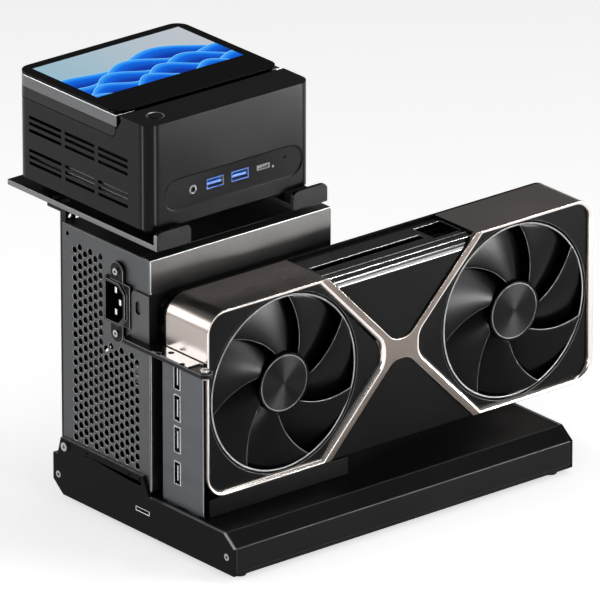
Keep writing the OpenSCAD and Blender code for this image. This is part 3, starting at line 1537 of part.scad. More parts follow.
module port_panel() color("#17181a") {
  z0 = mini_z;
  y0 = mini_y + pill_deep;
  difference() {
    pill(y0, mini_y + mini_t, -pill_deep - fit);
    for (x = usb_x)
      span([mini_x + x, mini_x + x + usb_l], [y0 - eps, mini_y + mini_t + eps],
           [z0 + usb_z, z0 + usb_z + usb_h]);
    span([mini_x + usbc_x, mini_x + usbc_x + usbc_l], [y0 - eps, mini_y + mini_t + eps],
         [z0 + usbc_z, z0 + usbc_z + usbc_h]);
    rod_y(mini_x + audio_x, y0 - eps, mini_y + mini_t + eps, z0 + audio_z, audio_r);
    rod_y(mini_x + led_x, y0 - eps, mini_y + mini_t + eps, z0 + led_z, led_r);
    rod_y(mini_x + pin_hole_x, y0 - eps, mini_y + mini_t + eps, z0 + pin_hole_z, led_r);
  }
}

// A rectangular socket: metal shell, open to the front, with a tongue inside
module socket(x, l, z, h, tongue_share) {
  y0 = mini_y + pill_deep;
  difference() {
    span([mini_x + x + fit, mini_x + x + l - fit], [y0, y0 + port_depth], [z + fit, z + h - fit]);
    span([mini_x + x + port_shell, mini_x + x + l - port_shell], [y0 - eps, y0 + port_depth - port_shell],
         [z + port_shell, z + h - port_shell]);
  }
  span([mini_x + x + 2 * port_shell, mini_x + x + l - 2 * port_shell],
       [y0 + port_shell, y0 + port_depth - weld],
       [z + h / 2 - h * tongue_share / 2, z + h / 2 + h * tongue_share / 2]);
}

module mini_ports() color("#2f63c4") {
  z0 = mini_z;
  y0 = mini_y + pill_deep;
  for (x = usb_x) socket(x, usb_l, z0 + usb_z, usb_h, 0.26);
  socket(usbc_x, usbc_l, z0 + usbc_z, usbc_h, 0.2);
  difference() {
    rod_y(mini_x + audio_x, y0, y0 + port_depth, z0 + audio_z, audio_r - fit);
    rod_y(mini_x + audio_x, y0 - eps, y0 + port_depth - port_shell, z0 + audio_z, audio_bore_r);
  }
  rod_y(mini_x + led_x, y0, y0 + mini_t, z0 + led_z, led_r - fit);
  // one carrier on the board that the sockets and the light stand on
  span([mini_x + audio_x - audio_r, mini_x + led_x + 2 * led_r], [y0 + mini_t, y0 + port_depth],
       [mini_z + mini_board_up + pcb_t, z0 + usb_z + port_shell / 2]);
}

module power_button() color("#3a3c40") {
  x = mini_x + button_x;
  y = mini_y + button_y;
  flange_z = mini_z1 - mini_t;
  rod_z(x, y, flange_z - weld, mini_z1 + button_out, button_r);
  rod_z(x, y, flange_z - button_flange, flange_z, button_r + 2 * button_flange);
  rod_z(x, y, flange_z - button_l, flange_z - button_flange + weld, button_r / 2);
}

// The screen module in its closed place: an outline over the rear of the case
module screen_outline(front, inset = 0) {
  intersection() {
    mini_outline(inset);
    translate([mini_x, front]) square([mini_w, mini_d]);
  }
}

module hinge_cuts() {
  at_lugs() {
    span([-seat, lug_w + seat], [hinge_y - 2 * hinge_clear, hinge_y + lug_r + seat],
         [screen_z0 - eps, hinge_z + lug_r + seat]);
    rod_x(-hinge_pin_over - fit, lug_w + hinge_pin_over + fit, hinge_y, hinge_z, hinge_pin_r + fit);
  }
}

module screen_housing() color("#9b9da0") {
  z1 = screen_z1 - glass_t;
  difference() {
    translate([0, 0, z1 - band_h]) linear_extrude(band_h) screen_outline(hinge_y - housing_over);
    hinge_cuts();
    span([mini_x + display_in_x, mini_x + mini_w - display_in_x],
         [hinge_y - glass_over + display_in_y0, mini_y + mini_d - display_in_y1], [z1 - display_t, z1 + eps]);
    translate([0, 0, z1 - band_h - eps]) linear_extrude(band_h - screen_wall + eps)
      screen_outline(hinge_y + hinge_block, screen_wall);
  }
}

module screen_back() color("#1d1e20") {
  z1 = screen_z1 - glass_t - band_h;
  front = hinge_y + fit;
  difference() {
    intersection() {
      translate([0, 0, screen_z0]) linear_extrude(z1 - screen_z0) screen_outline(front);
      along_x(mini_x - eps, mini_x + mini_w + eps) polygon(concat(
        arc([front + cut_r, screen_z0 + cut_r], cut_r, 180, 270),
        [[mini_y + mini_d + eps, screen_z0], [mini_y + mini_d + eps, z1 + eps], [front, z1 + eps]]
      ));
    }
    hinge_cuts();
    translate([0, 0, screen_z0 + screen_wall]) linear_extrude(z1 - screen_z0)
      screen_outline(hinge_y + hinge_block, screen_wall);
  }
}

module screen_glass() color("#0a0a0c") {
  translate([0, 0, screen_z1 - glass_t]) linear_extrude(glass_t) intersection() {
    mini_outline();
    translate([mini_x, hinge_y - glass_over])
      round_rect(mini_w, mini_y + mini_d - hinge_y + glass_over, mini_r - seat);
  }
}

module hinge_pins() color("#b5b8bc") {
  at_lugs() rod_x(-hinge_pin_over, lug_w + hinge_pin_over, hinge_y, hinge_z, hinge_pin_r);
}

// The whole part stands on z = 0, centred over its own outer box
module placed() {
  translate([-(x_min + x_max) / 2, -y_max / 2, foot_h]) children();
}

placed() base_shell();
placed() base_floor();
placed() io_end_plate();
placed() far_end_plate();
placed() rubber_feet();
placed() base_screws();
placed() main_board();
placed() board_standoffs();
placed() pcie_slot();
placed() slot_latch();
placed() slot_shroud();
placed() link_port();
placed() power_header();
placed() psu_pads();
placed() psu_case();
placed() psu_front_cover();
placed() psu_vent_panel();
placed() iec_inlet();
placed() iec_pins();
placed() psu_screws();
placed() psu_fan_frame();
placed() psu_fan_rotor();
placed() psu_fan_grille();
placed() psu_board();
placed() psu_heatsinks();
placed() psu_components();
placed() cable_outlet();
placed() corner_bracket();
placed() retention_bar();
placed() tray_post_left();
placed() tray_post_right();
placed() tray();
placed() tray_screws();
placed() card_frame();
placed() card_spine();
placed() card_panels();
placed() fan_mounts();
placed() card_fan_left();
placed() card_fan_right();
placed() card_fins();
placed() heat_pipes();
placed() cold_plate();
placed() card_board();
placed() card_chips();
placed() card_bracket();
placed() display_ports();
placed() power_socket();
placed() card_backplate();
placed() mini_case();
placed() mini_bottom();
placed() mini_feet();
placed() mini_board();
placed() mini_cooler();
placed() port_panel();
placed() mini_ports();
placed() power_button();
placed() screen_housing();
placed() screen_back();
placed() screen_glass();
placed() hinge_pins();
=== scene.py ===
# %% [markdown]
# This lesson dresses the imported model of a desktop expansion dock: a low black base with a
# power supply, a graphics card in its slot and a small computer on a tray. The model gives the
# sizes and the bodies. The script adds bevels, finer fans, finishes, light and a camera.

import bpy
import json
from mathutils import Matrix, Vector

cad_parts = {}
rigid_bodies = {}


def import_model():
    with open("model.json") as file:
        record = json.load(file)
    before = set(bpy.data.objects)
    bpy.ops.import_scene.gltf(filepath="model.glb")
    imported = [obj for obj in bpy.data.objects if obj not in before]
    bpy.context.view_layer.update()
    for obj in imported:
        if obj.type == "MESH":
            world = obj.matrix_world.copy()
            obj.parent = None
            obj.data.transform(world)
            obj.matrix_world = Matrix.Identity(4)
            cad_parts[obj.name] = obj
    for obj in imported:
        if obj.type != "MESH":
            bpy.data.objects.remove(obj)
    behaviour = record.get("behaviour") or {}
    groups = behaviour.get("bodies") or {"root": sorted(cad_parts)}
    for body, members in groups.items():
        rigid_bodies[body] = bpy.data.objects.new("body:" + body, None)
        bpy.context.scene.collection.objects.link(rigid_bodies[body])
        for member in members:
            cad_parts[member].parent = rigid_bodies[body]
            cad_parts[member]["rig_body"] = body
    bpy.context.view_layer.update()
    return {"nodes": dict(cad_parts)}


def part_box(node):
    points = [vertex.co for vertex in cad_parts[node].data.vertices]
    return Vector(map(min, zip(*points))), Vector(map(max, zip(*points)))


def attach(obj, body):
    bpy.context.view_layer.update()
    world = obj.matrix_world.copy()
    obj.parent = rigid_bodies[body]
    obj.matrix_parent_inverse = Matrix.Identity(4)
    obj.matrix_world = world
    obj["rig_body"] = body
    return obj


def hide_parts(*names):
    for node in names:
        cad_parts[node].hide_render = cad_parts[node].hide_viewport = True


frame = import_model()

# %% [markdown]
# The dock's parts are placed in millimetres from one corner of its base, while Blender works in
# metres. Every place could be typed in metres of the shared frame. A small helper that turns
# the one into the other keeps the numbers readable.

# %% Tools of the lesson
import json
from math import atan2, cos, pi, radians, sin

import bmesh
import bpy
from mathutils import Euler, Vector

MM = 0.001
# Where the front left bottom corner of the base lies in the shared frame
DOCK_CORNER = Vector((-153.2, -112.0, 3.5)) * MM


def at(x, y, z):
    """A place given in millimetres from the front left bottom corner of the base."""
    return Vector((x, y, z)) * MM + DOCK_CORNER


def node_body(node):
    return frame["nodes"][node]["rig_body"]


print("base corner", [round(c, 4) for c in at(0, 0, 0)])

# %% [markdown]
# Powder coat, moulded plastic and cast metal all have a fine grain, and their gloss drifts a
# little from place to place. A picture of grain could show that, but every surface would have
# to be unwrapped for it. One node group makes both from noise in Object coordinates, so the
# grain keeps its size on every piece. Each finish places the group with its own numbers.


# %% The grain group
def start_group(name, inputs, outputs):
    group = bpy.data.node_groups.new(name, "ShaderNodeTree")
    for label, kind, value in inputs:
        socket = group.interface.new_socket(label, in_out="INPUT", socket_type=kind)
        socket.default_value = value
    for label in outputs:
        group.interface.new_socket(label, in_out="OUTPUT", socket_type="NodeSocketFloat")
    return group, group.nodes.new("NodeGroupInput"), group.nodes.new("NodeGroupOutput")


def add_node(tree, kind, links=(), **values):
    """A node with its sockets linked and its values set, so that a finish reads as a list."""
    node = tree.nodes.new(kind)
    for key, value in values.items():
        if hasattr(node, key):
            setattr(node, key, value)
        else:
            node.inputs[key.replace("_", " ").title()].default_value = value
    for socket, source in links:
        tree.links.new(source, node.inputs[socket])
    return node


FLOAT, VECTOR = "NodeSocketFloat", "NodeSocketVector"
# The parts of the noise's values that are spread over the whole tone and the whole roughness
TONE_RANGE = (0.1, 0.42)
DRIFT_RANGE = (0.35, 0.65)


def build_grain():
    group, given, out = start_group(
        "surface grain",
        [("Size", FLOAT, 2500.0), ("Stretch", VECTOR, (1.0, 1.0, 1.0)), ("Drift", FLOAT, 18.0),
         ("Smoothest", FLOAT, 0.3), ("Roughest", FLOAT, 0.5)],
        ["Tone", "Roughness", "Height"])
    place = add_node(group, "ShaderNodeTexCoord").outputs["Object"]
    drawn = add_node(group, "ShaderNodeVectorMath", [(0, place), (1, given.outputs["Stretch"])],
                     operation="MULTIPLY").outputs[0]
    fine = add_node(group, "ShaderNodeTexNoise",
                    [("Vector", drawn), ("Scale", given.outputs["Size"])], detail=2.0)
    broad = add_node(group, "ShaderNodeTexNoise",
                     [("Vector", drawn), ("Scale", given.outputs["Drift"])], detail=4.0)
    both = add_node(group, "ShaderNodeMath", [(0, fine.outputs[0]), (1, broad.outputs[0])],
                    operation="MULTIPLY")
    tone = add_node(group, "ShaderNodeMapRange", [("Value", both.outputs[0])])
    tone.inputs["From Min"].default_value, tone.inputs["From Max"].default_value = TONE_RANGE
    rough = add_node(group, "ShaderNodeMapRange", [
        ("Value", broad.outputs[0]), ("To Min", given.outputs["Smoothest"]),
        ("To Max", given.outputs["Roughest"])])
    rough.inputs["From Min"].default_value, rough.inputs["From Max"].default_value = DRIFT_RANGE
    group.links.new(tone.outputs[0], out.inputs["Tone"])
    group.links.new(rough.outputs[0], out.inputs["Roughness"])
    group.links.new(fine.outputs[0], out.inputs["Height"])
    return group


GRAIN = build_grain()
print("group", GRAIN.name, "with", len(GRAIN.nodes), "nodes")

# %% [markdown]
# Every paint, plastic and metal of the dock is one Principled shader. Each could be built by
# hand, but they differ only in their numbers, so one function builds them all. The colour runs
# between a darker and a lighter tone of the same paint, the roughness and the bump come from
# the grain group, and everything that is the same all over is set on the shader's own socket.

# %% Make a finish
GRAIN_HEIGHT = 0.0002


def finish(name, colour, metallic=0.0, smooth=0.3, rough=0.45, size=2500.0, stretch=(1, 1, 1),
           bump=0.05, vary=0.15, specular=0.5):
    material = bpy.data.materials.new(name)
    material.use_nodes = True
    tree = material.node_tree
    shader = tree.nodes["Principled BSDF"]
    grain = tree.nodes.new("ShaderNodeGroup")
    grain.node_tree = GRAIN
    for label, value in [("Size", size), ("Stretch", stretch), ("Smoothest", smooth),
                         ("Roughest", rough)]:
        grain.inputs[label].default_value = value
    mix = add_node(tree, "ShaderNodeMix", data_type="RGBA")
    tree.links.new(grain.outputs["Tone"], mix.inputs["Factor"])
    mix.inputs[6].default_value = [c * (1 - vary) for c in colour] + [1.0]
    mix.inputs[7].default_value = [min(1.0, c * (1 + vary)) for c in colour] + [1.0]
    raised = add_node(tree, "ShaderNodeBump", [("Height", grain.outputs["Height"])])
    raised.inputs["Strength"].default_value = bump
    raised.inputs["Distance"].default_value = GRAIN_HEIGHT
    tree.links.new(mix.outputs[2], shader.inputs["Base Color"])
    tree.links.new(grain.outputs["Roughness"], shader.inputs["Roughness"])
    tree.links.new(raised.outputs[0], shader.inputs["Normal"])
    shader.inputs["Metallic"].default_value = metallic
    shader.inputs["Specular IOR Level"].default_value = specular
    return material


def grey(value):
    return (value, value, value)


print("a finish is a colour, a gloss range and a grain of", GRAIN_HEIGHT * 1000, "mm")

# %% [markdown]
# The object is nearly all black and grey. Its materials could differ by colour alone, but then
# the blacks would look alike. So they differ by gloss: a dull powder coat on the base, a grey
# metallic paint on the power supply, champagne anodising on the card's frame, semi-gloss black
# on the fans and a satin skin on the computer.

# %% The finishes
FINISH = {
    "base coat": finish("base coat", grey(0.004), smooth=0.34, rough=0.44, bump=0.08,
                        specular=0.09),
    # A paler grey laid on the base's bevels: a painted highlight.
    "base painted edge highlight": finish("base painted edge highlight", grey(0.035), metallic=0.3, smooth=0.36, rough=0.46,
                        specular=0.3),
    "plate coat": finish("plate coat", grey(0.005), smooth=0.36, rough=0.46, bump=0.08,
                         specular=0.05),
    # Bare metal for the plates' cut edges, also laid on the vent holes' rims as a painted glint.
    "bare cut edge and painted glint": finish("bare cut edge and painted glint", grey(0.36), metallic=0.9, smooth=0.36, rough=0.5, size=900,
                       stretch=(1, 1, 14)),
    "tray edge": finish("tray edge", grey(0.19), metallic=0.9, smooth=0.36, rough=0.5, size=900),
    # Grey metal for real bare edges and port shells, also laid on bevels as a painted highlight.
    "grey edge and painted highlight": finish("grey edge and painted highlight", grey(0.22), metallic=0.5, smooth=0.4, rough=0.55, size=900),
    # A dim grey for the card panels' bevels: a painted highlight.
    "dim painted edge highlight": finish("dim painted edge highlight", grey(0.09), metallic=0.4, smooth=0.32, rough=0.42, size=900),
    # Bright metal for the button ring and the vent sheet, also laid on bevels as a painted
    # highlight.
    "bright metal and painted highlight": finish("bright metal and painted highlight", grey(0.62), metallic=1.0, smooth=0.22, rough=0.34,
                          size=600, bump=0.0),
    "rubber": finish("rubber", grey(0.012), smooth=0.7, rough=0.85, size=1800, bump=0.2,
                     specular=0.15),
    # Zinc for screws and pins, also laid on one recess wall as a painted highlight.
    "zinc": finish("zinc", (0.42, 0.43, 0.45), metallic=1.0, smooth=0.25, rough=0.4, size=1500),
    "brass": finish("brass", (0.6, 0.42, 0.16), metallic=1.0, smooth=0.2, rough=0.35, size=1500),
    # Nickel for contacts and ports, also laid on the bracket's tops as painted light.
    "nickel and painted highlight": finish("nickel and painted highlight", (0.72, 0.73, 0.75), metallic=1.0, smooth=0.14, rough=0.26, size=900),
    "moulding": finish("moulding", grey(0.006), smooth=0.36, rough=0.5, bump=0.12, specular=0.12),
    "latch plastic": finish("latch plastic", grey(0.06), smooth=0.4, rough=0.5),
    "ivory nylon": finish("ivory nylon", (0.7, 0.68, 0.62), smooth=0.4, rough=0.55),
    "gunmetal": finish("gunmetal", (0.078, 0.076, 0.074), metallic=0.85, smooth=0.32, rough=0.42,
                       bump=0.06),
    "vent steel": finish("vent steel", (0.088, 0.090, 0.094), metallic=0.8, smooth=0.38, rough=0.48,
                         bump=0.06),
    "carrier coat": finish("carrier coat", grey(0.007), smooth=0.36, rough=0.46, bump=0.08,
                           specular=0.15),
    # A lighter grey for the corner bracket's faces that look left: painted light.
    "bracket painted lit side": finish("bracket painted lit side", grey(0.09), metallic=0.6, smooth=0.38, rough=0.48),
    "tray coat": finish("tray coat", grey(0.006), smooth=0.36, rough=0.46, bump=0.08,
                        specular=0.15),
    "champagne": finish("champagne", (0.44, 0.388, 0.36), metallic=1.0, smooth=0.24, rough=0.30,
                        size=2200, bump=0.0, vary=0.04),
    # A darker champagne for the frame's front faces: painted shade.
    "champagne painted shade": finish("champagne painted shade", (0.105, 0.088, 0.077), metallic=0.9, smooth=0.28,
                             rough=0.36, size=2200, bump=0.0, vary=0.05),
    # A pale champagne for the slopes: a painted highlight.
    "champagne painted highlight": finish("champagne painted highlight", (0.86, 0.80, 0.76), metallic=1.0, smooth=0.16,
                            rough=0.22, size=2200, bump=0.0, vary=0.03),
    "spine coat": finish("spine coat", grey(0.005), smooth=0.20, rough=0.25, bump=0.01,
                         specular=0.80),
    "panel black": finish("panel black", grey(0.0035), smooth=0.32, rough=0.42, bump=0.03,
                          specular=0.045),
    "fan plastic": finish("fan plastic", grey(0.001), smooth=0.22, rough=0.26, bump=0.005,
                          specular=0.075),
    "fins": finish("fins", grey(0.03), metallic=0.8, smooth=0.35, rough=0.5),
    "copper": finish("copper", (0.62, 0.33, 0.2), metallic=1.0, smooth=0.25, rough=0.4),
    "aluminium": finish("aluminium", grey(0.55), metallic=1.0, smooth=0.3, rough=0.45,
                        stretch=(1, 1, 12)),
    "slot steel": finish("slot steel", (0.098, 0.104, 0.113), metallic=0.8, smooth=0.34, rough=0.46,
                         stretch=(1, 1, 8), size=1200, bump=0.03),
    "green board": finish("green board", (0.012, 0.07, 0.035), smooth=0.3, rough=0.5, size=420,
                          vary=0.5),
    "black board": finish("black board", (0.006, 0.016, 0.011), smooth=0.3, rough=0.5, size=420,
                          vary=0.5),
    "wound parts": finish("wound parts", (0.10, 0.07, 0.035), smooth=0.4, rough=0.6, size=700,
                          vary=0.5),
    "computer skin": finish("computer skin", (0.0075, 0.0076, 0.0082), smooth=0.19, rough=0.23,
                            size=4200, bump=0.05, specular=0.11),
    "port recess": finish("port recess", grey(0.004), smooth=0.45, rough=0.6, bump=0.06,
                          specular=0.1),
    "port blue": finish("port blue", (0.05, 0.20, 0.80), smooth=0.25, rough=0.4),
    "screen silver": finish("screen silver", (0.13, 0.132, 0.137), metallic=0.9, smooth=0.26,
                            rough=0.36),
    "screen dark": finish("screen dark", grey(0.008), smooth=0.3, rough=0.4, specular=0.2),
}
print("finishes", len(FINISH))

# %% [markdown]
# A sheet or a moulding never has a perfectly sharp edge, and light shows this as thin bright
# lines. A bevel modifier could round the edges, but it can't give chosen bevels a finish of
# their own. So a copy of a node is merged into whole faces, its sharp edges are bevelled, and a
# weighted normal modifier keeps the large faces flat. Chosen bevels get a paler finish, which
# paints a highlight along the edge. The copy then stands for the node.

# %% Bevelled copies
WELD = 0.002 * MM
FLAT_WITHIN = radians(0.4)


def merged_shape(node):
    """A copy of a node's mesh whose flat areas are single faces."""
    shape = bmesh.new()
    shape.from_mesh(frame["nodes"][node].data)
    bmesh.ops.remove_doubles(shape, verts=shape.verts, dist=WELD)
    bmesh.ops.dissolve_limit(shape, angle_limit=FLAT_WITHIN, verts=shape.verts,
                             edges=shape.edges)
    return shape


def sharp_edges(shape, angle=28):
    return [e for e in shape.edges if e.is_manifold and e.calc_face_angle() > radians(angle)]


def bevel(shape, edges, width, segments=2):
    made = bmesh.ops.bevel(shape, geom=edges, offset=width, offset_type="OFFSET",
                           segments=segments, affect="EDGES", profile=0.5, material=-1,
                           clamp_overlap=False)
    return made["faces"]


def add_piece(name, shape, body, finishes, replaced=(), smooth_angle=32, even=True):
    """Turns a bmesh into a piece that rides on a body."""
    mesh = bpy.data.meshes.new(name)
    shape.to_mesh(mesh)
    shape.free()
    for label in finishes:
        mesh.materials.append(FINISH[label])
    mesh.shade_smooth()
    mesh.set_sharp_from_angle(angle=radians(smooth_angle))
    piece = bpy.data.objects.new(name, mesh)
    bpy.context.scene.collection.objects.link(piece)
    if even:
        weighted = piece.modifiers.new("even shading", "WEIGHTED_NORMAL")
        weighted.keep_sharp = True
    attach(piece, body)
    if replaced:
        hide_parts(*replaced)
    return piece


def every(face):
    return True


def faces_up(face):
    return face.normal.z > 0.3


def dressed(node, finishes, width, segments=2, edge_faces=None, bright=None):
    """A bevelled copy of a node. edge_faces picks the faces that get the second finish, and
    bright picks the bevels that get the last one, a paler finish that paints a highlight."""
    shape = merged_shape(node)
    if edge_faces:
        for face in shape.faces:
            if edge_faces(face):
                face.material_index = 1
    made = bevel(shape, sharp_edges(shape), width * MM, segments)
    if bright:
        for face in made:
            if bright(face):
                face.material_index = len(finishes) - 1
    count = len(shape.faces)
    add_piece(node + ".dressed", shape, node_body(node), finishes, [node])
    print(node, "faces", count)


# %% [markdown]
# The base is folded sheet under a powder coat, between two end plates. The plates were cut
# after they were coated, so their upper edges show bare metal as a light band. The band could
# be a strip laid on top. The edges are faces already, so the script picks them by the
# direction they look in and gives them their own metal.


# %% Base and its end plates
def port_plate_edge(face):
    """The upper edges of the port plate, down to the slopes of its raised tab."""
    above_the_port = face.calc_center_median().z > at(0, 0, 20).z
    return abs(face.normal.x) < 0.2 and face.normal.z > 0.5 and above_the_port


def far_plate_edge(face):
    return abs(face.normal.x) < 0.2 and face.normal.z > 0.9


# Every bevel of the base gets the paler grey: a painted highlight along its edges.
dressed("base_shell", ["base coat", "base painted edge highlight"], 0.5, 3, bright=every)
dressed("io_end_plate", ["plate coat", "bare cut edge and painted glint"], 0.25, 2, edge_faces=port_plate_edge)
dressed("far_end_plate", ["plate coat", "grey edge and painted highlight"], 0.25, 2, edge_faces=far_plate_edge)
dressed("slot_shroud", ["base coat"], 0.4, 2)
dressed("rubber_feet", ["rubber"], 0.3, 2)
dressed("link_port", ["nickel and painted highlight"], 0.12, 1)

# %% [markdown]
# The power supply's case is folded steel with a mid grey metallic paint. The bevels of its folds
# get a paler metal, a painted highlight along the top and the front. The vents could be a picture
# of holes. The imported model has real hexagonal holes, so the script only adds a small bevel to
# each, painted as a glint in a paler metal, and light falls through them.

# %% Power supply
# All bevels of the cover, the case and the vent holes get a paler metal: painted highlights.
dressed("psu_front_cover", ["gunmetal", "bright metal and painted highlight"], 0.4, 2, bright=every)
dressed("psu_case", ["gunmetal", "grey edge and painted highlight"], 0.35, 2, bright=every)
dressed("psu_vent_panel", ["vent steel", "bare cut edge and painted glint"], 0.2, 1, bright=every)
# The inlet's bevels that look to the left get a paler grey: a painted highlight on that side.
dressed("iec_inlet", ["moulding", "grey edge and painted highlight"], 0.35, 2, bright=lambda face: face.normal.x < -0.2)
dressed("iec_pins", ["nickel and painted highlight"], 0.3, 2)
dressed("psu_fan_frame", ["moulding"], 0.5, 2)
dressed("cable_outlet", ["moulding"], 0.5, 2)
dressed("psu_fan_grille", ["moulding"], 0.2, 2)

# %% [markdown]
# The carriers are folded and cut sheet too: the corner bracket, the bar under the card's
# bracket, the posts and the tray. Their pale cut edges could be drawn as lines on a texture.
# Here the end faces of the tray get a paler metal, which needs no new shape. The upper bevels
# of the bar get a paler grey too, as a painted highlight, and the faces of the corner bracket
# that look to the left a lighter grey, as painted light on that side.

# %% Carriers
# Faces that look to the left get a lighter grey: painted light on that side.
dressed("corner_bracket", ["carrier coat", "bracket painted lit side"], 0.3, 2,
        edge_faces=lambda face: face.normal.x < -0.9)
# Upper bevels get a paler grey: a painted highlight.
dressed("retention_bar", ["carrier coat", "grey edge and painted highlight"], 0.3, 2, bright=faces_up)
dressed("tray_post_left", ["carrier coat"], 0.3, 2)
dressed("tray_post_right", ["carrier coat"], 0.3, 2)
dressed("tray", ["tray coat", "tray edge"], 0.5, 2,
        edge_faces=lambda face: abs(face.normal.z) < 0.5 and abs(face.normal.x) > 0.6)

# %% [markdown]
# The card's frame is one champagne casting. Where its arms and rim meet the black panels they
# slope inwards, and this slope is the brightest line of the object. It could be made of
# separate strips, but they would have to meet at every corner. A wide bevel makes it in one
# piece: the edges whose inner wall faces a fan get the wide one, all other edges a fine one.
# The slopes get a pale champagne as a painted highlight, and the front faces a darker one as
# painted shade.

# %% Card frame
FAN_CENTRES = [(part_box(node)[0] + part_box(node)[1]) / 2
               for node in ("card_fan_left", "card_fan_right")]
CARD_FRONT = at(0, 33, 0).y
WAIST = at(157.9, 33, 96.5)
WAIST_REACH = (18 * MM, 9 * MM)
CORNER, SLOPE, FINE = 4.0 * MM, 2.6 * MM, 0.3 * MM


def faces_a_fan(edge):
    """The front edges of the arms and the rim on the side of the nearest fan."""
    if any(abs(vert.co.y - CARD_FRONT) > 0.2 * MM for vert in edge.verts):
        return False
    middle = (edge.verts[0].co + edge.verts[1].co) / 2
    centre = min(FAN_CENTRES, key=lambda c: (c - middle).length)
    wall = max(edge.link_faces, key=lambda f: abs(f.normal.x) + abs(f.normal.z))
    inward = centre - middle
    inward.y = 0
    return abs(wall.normal.y) < 0.1 and wall.normal.dot(inward.normalized()) > 0.2


def at_the_waist(edge):
    """The short edges through the frame at the corners round its narrow middle."""
    a, b = (vert.co for vert in edge.verts)
    near = abs(a.x - WAIST.x) < WAIST_REACH[0] and abs(a.z - WAIST.z) < WAIST_REACH[1]
    return near and abs(a.x - b.x) + abs(a.z - b.z) < 0.05 * MM and edge.is_manifold


frame_shape = merged_shape("card_frame")
corners = [edge for edge in frame_shape.edges if at_the_waist(edge)]
bevel(frame_shape, corners, CORNER, 4)
slopes = [edge for edge in frame_shape.edges if edge.is_manifold and faces_a_fan(edge)]
slope_faces = bevel(frame_shape, slopes, SLOPE, 3)
# Front faces get the darker champagne: painted shade.
for face in frame_shape.faces:
    if face.normal.y < -0.97:
        face.material_index = 1
# Slopes get the pale champagne: a painted highlight.
for face in slope_faces:
    face.material_index = 2
for face in bevel(frame_shape, sharp_edges(frame_shape, 40), FINE, 2):
    face.material_index = 0
add_piece("card_frame.dressed", frame_shape, "card",
          ["champagne", "champagne painted shade", "champagne painted highlight"], ["card_frame"])
print("corners", len(corners), "slope edges", len(slopes), "faces", len(slope_faces))

# %% [markdown]
# The spine between the fans is glossy and its top front edge is round, so it draws two light
# bands along the card. A round edge could be swept anew. The imported model has it as a few flat
# strips, so it is enough to bevel the long edges where they meet. The spine's front is as dull
# as the other panels. The wall of the power recess that looks to the left gets a pale zinc, and
# the upper bevels a bright metal: both are painted highlights.

# %% Card spine
TURN = 1.5 * MM
RECESS_X = (at(190, 0, 0).x, at(225, 0, 0).x)
RECESS_FLOOR = at(0, 0, 138).z


def long_turn(edge):
    """The long edges of the round top front, where two strips meet at a slight angle."""
    a, b = (vert.co for vert in edge.verts)
    return edge.is_manifold and 0.2 < edge.calc_face_angle() < 0.7 and abs(a.x - b.x) > 20 * MM


def recess_wall(face):
    centre = face.calc_center_median()
    inside = RECESS_X[0] < centre.x < RECESS_X[1] and centre.z > RECESS_FLOOR
    return face.normal.x < -0.9 and inside


spine = merged_shape("card_spine")
turns = [edge for edge in spine.edges if long_turn(edge)]
bevel(spine, turns, TURN, 3)
for face in spine.faces:
    if face.normal.y < -0.985:
        face.material_index = 1
    # The wall that looks to the left gets pale zinc: a painted highlight.
    elif recess_wall(face):
        face.material_index = 3
# Upper bevels get the bright metal: a painted highlight.
for face in bevel(spine, sharp_edges(spine, 50), FINE, 2):
    if faces_up(face):
        face.material_index = 2
add_piece("card_spine.dressed", spine, "card",
          ["spine coat", "panel black", "bright metal and painted highlight", "zinc"], ["card_spine"])
print("turns made round", len(turns))

# %% [markdown]
# Side panels, a back plate and a steel bracket close the card. The bracket could be one even
# grey, but bright folds are what makes it read as bent steel. So all its bevels get a bright
# metal, a painted highlight, and the plates that look up get nickel, painted light on the top.
# The bevels of the panels get a dim grey, a painted highlight too.

# %% The rest of the card's shell
# Every bevel of the panels gets the dim grey: a painted highlight.
dressed("card_panels", ["panel black", "dim painted edge highlight"], 0.3, 2, bright=every)
dressed("fan_mounts", ["panel black"], 0.2, 2)
dressed("card_backplate", ["fan plastic"], 0.4, 2)
# The bracket's tops get nickel and its bevels the bright metal: painted light and highlights.
dressed("card_bracket", ["slot steel", "nickel and painted highlight", "bright metal and painted highlight"], 0.15, 1,
        edge_faces=lambda face: face.normal.z > 0.9, bright=every)
dressed("display_ports", ["nickel and painted highlight"], 0.12, 1)
dressed("power_socket", ["moulding"], 0.2, 1)

# %% [markdown]
# A fan has a disc hub, seven swept blades and a thin ring at their tips. A blade could be a
# flat cut shape that is turned a little, but then it would have one even tone. Here it starts
# as a grid whose rows are moved onto a curve that falls away behind, and which is then given
# its thickness, so a light runs over it as a soft gradient. The hub and the ring are profiles
# spun about the shaft.

# %% Fan parts
BLADES = 7
ROOT, TIP = 18.6, 55.5
CHORD = 57
SWEEP = 34
FALL = 7.9
THICK = 0.9
TURNED_BY = 23.4


def spun(profile, centre, steps=96):
    """A profile of (radius, depth) points in millimetres spun about the fan's shaft."""
    shape = bmesh.new()
    points = [shape.verts.new(centre + Vector((r * MM, d * MM, 0))) for r, d in profile]
    for a, b in zip(points, points[1:]):
        shape.edges.new((a, b))
    bmesh.ops.spin(shape, geom=shape.verts[:] + shape.edges[:], cent=centre, axis=(0, 1, 0),
                   angle=2 * pi, steps=steps, use_merge=True)
    bmesh.ops.remove_doubles(shape, verts=shape.verts, dist=0.000005)
    bmesh.ops.recalc_face_normals(shape, faces=shape.faces)
    return shape


def midline(turn, out):
    """The angle of a blade's middle, at a share of the way out from root to tip."""
    return radians(turn + SWEEP * out ** 0.8)


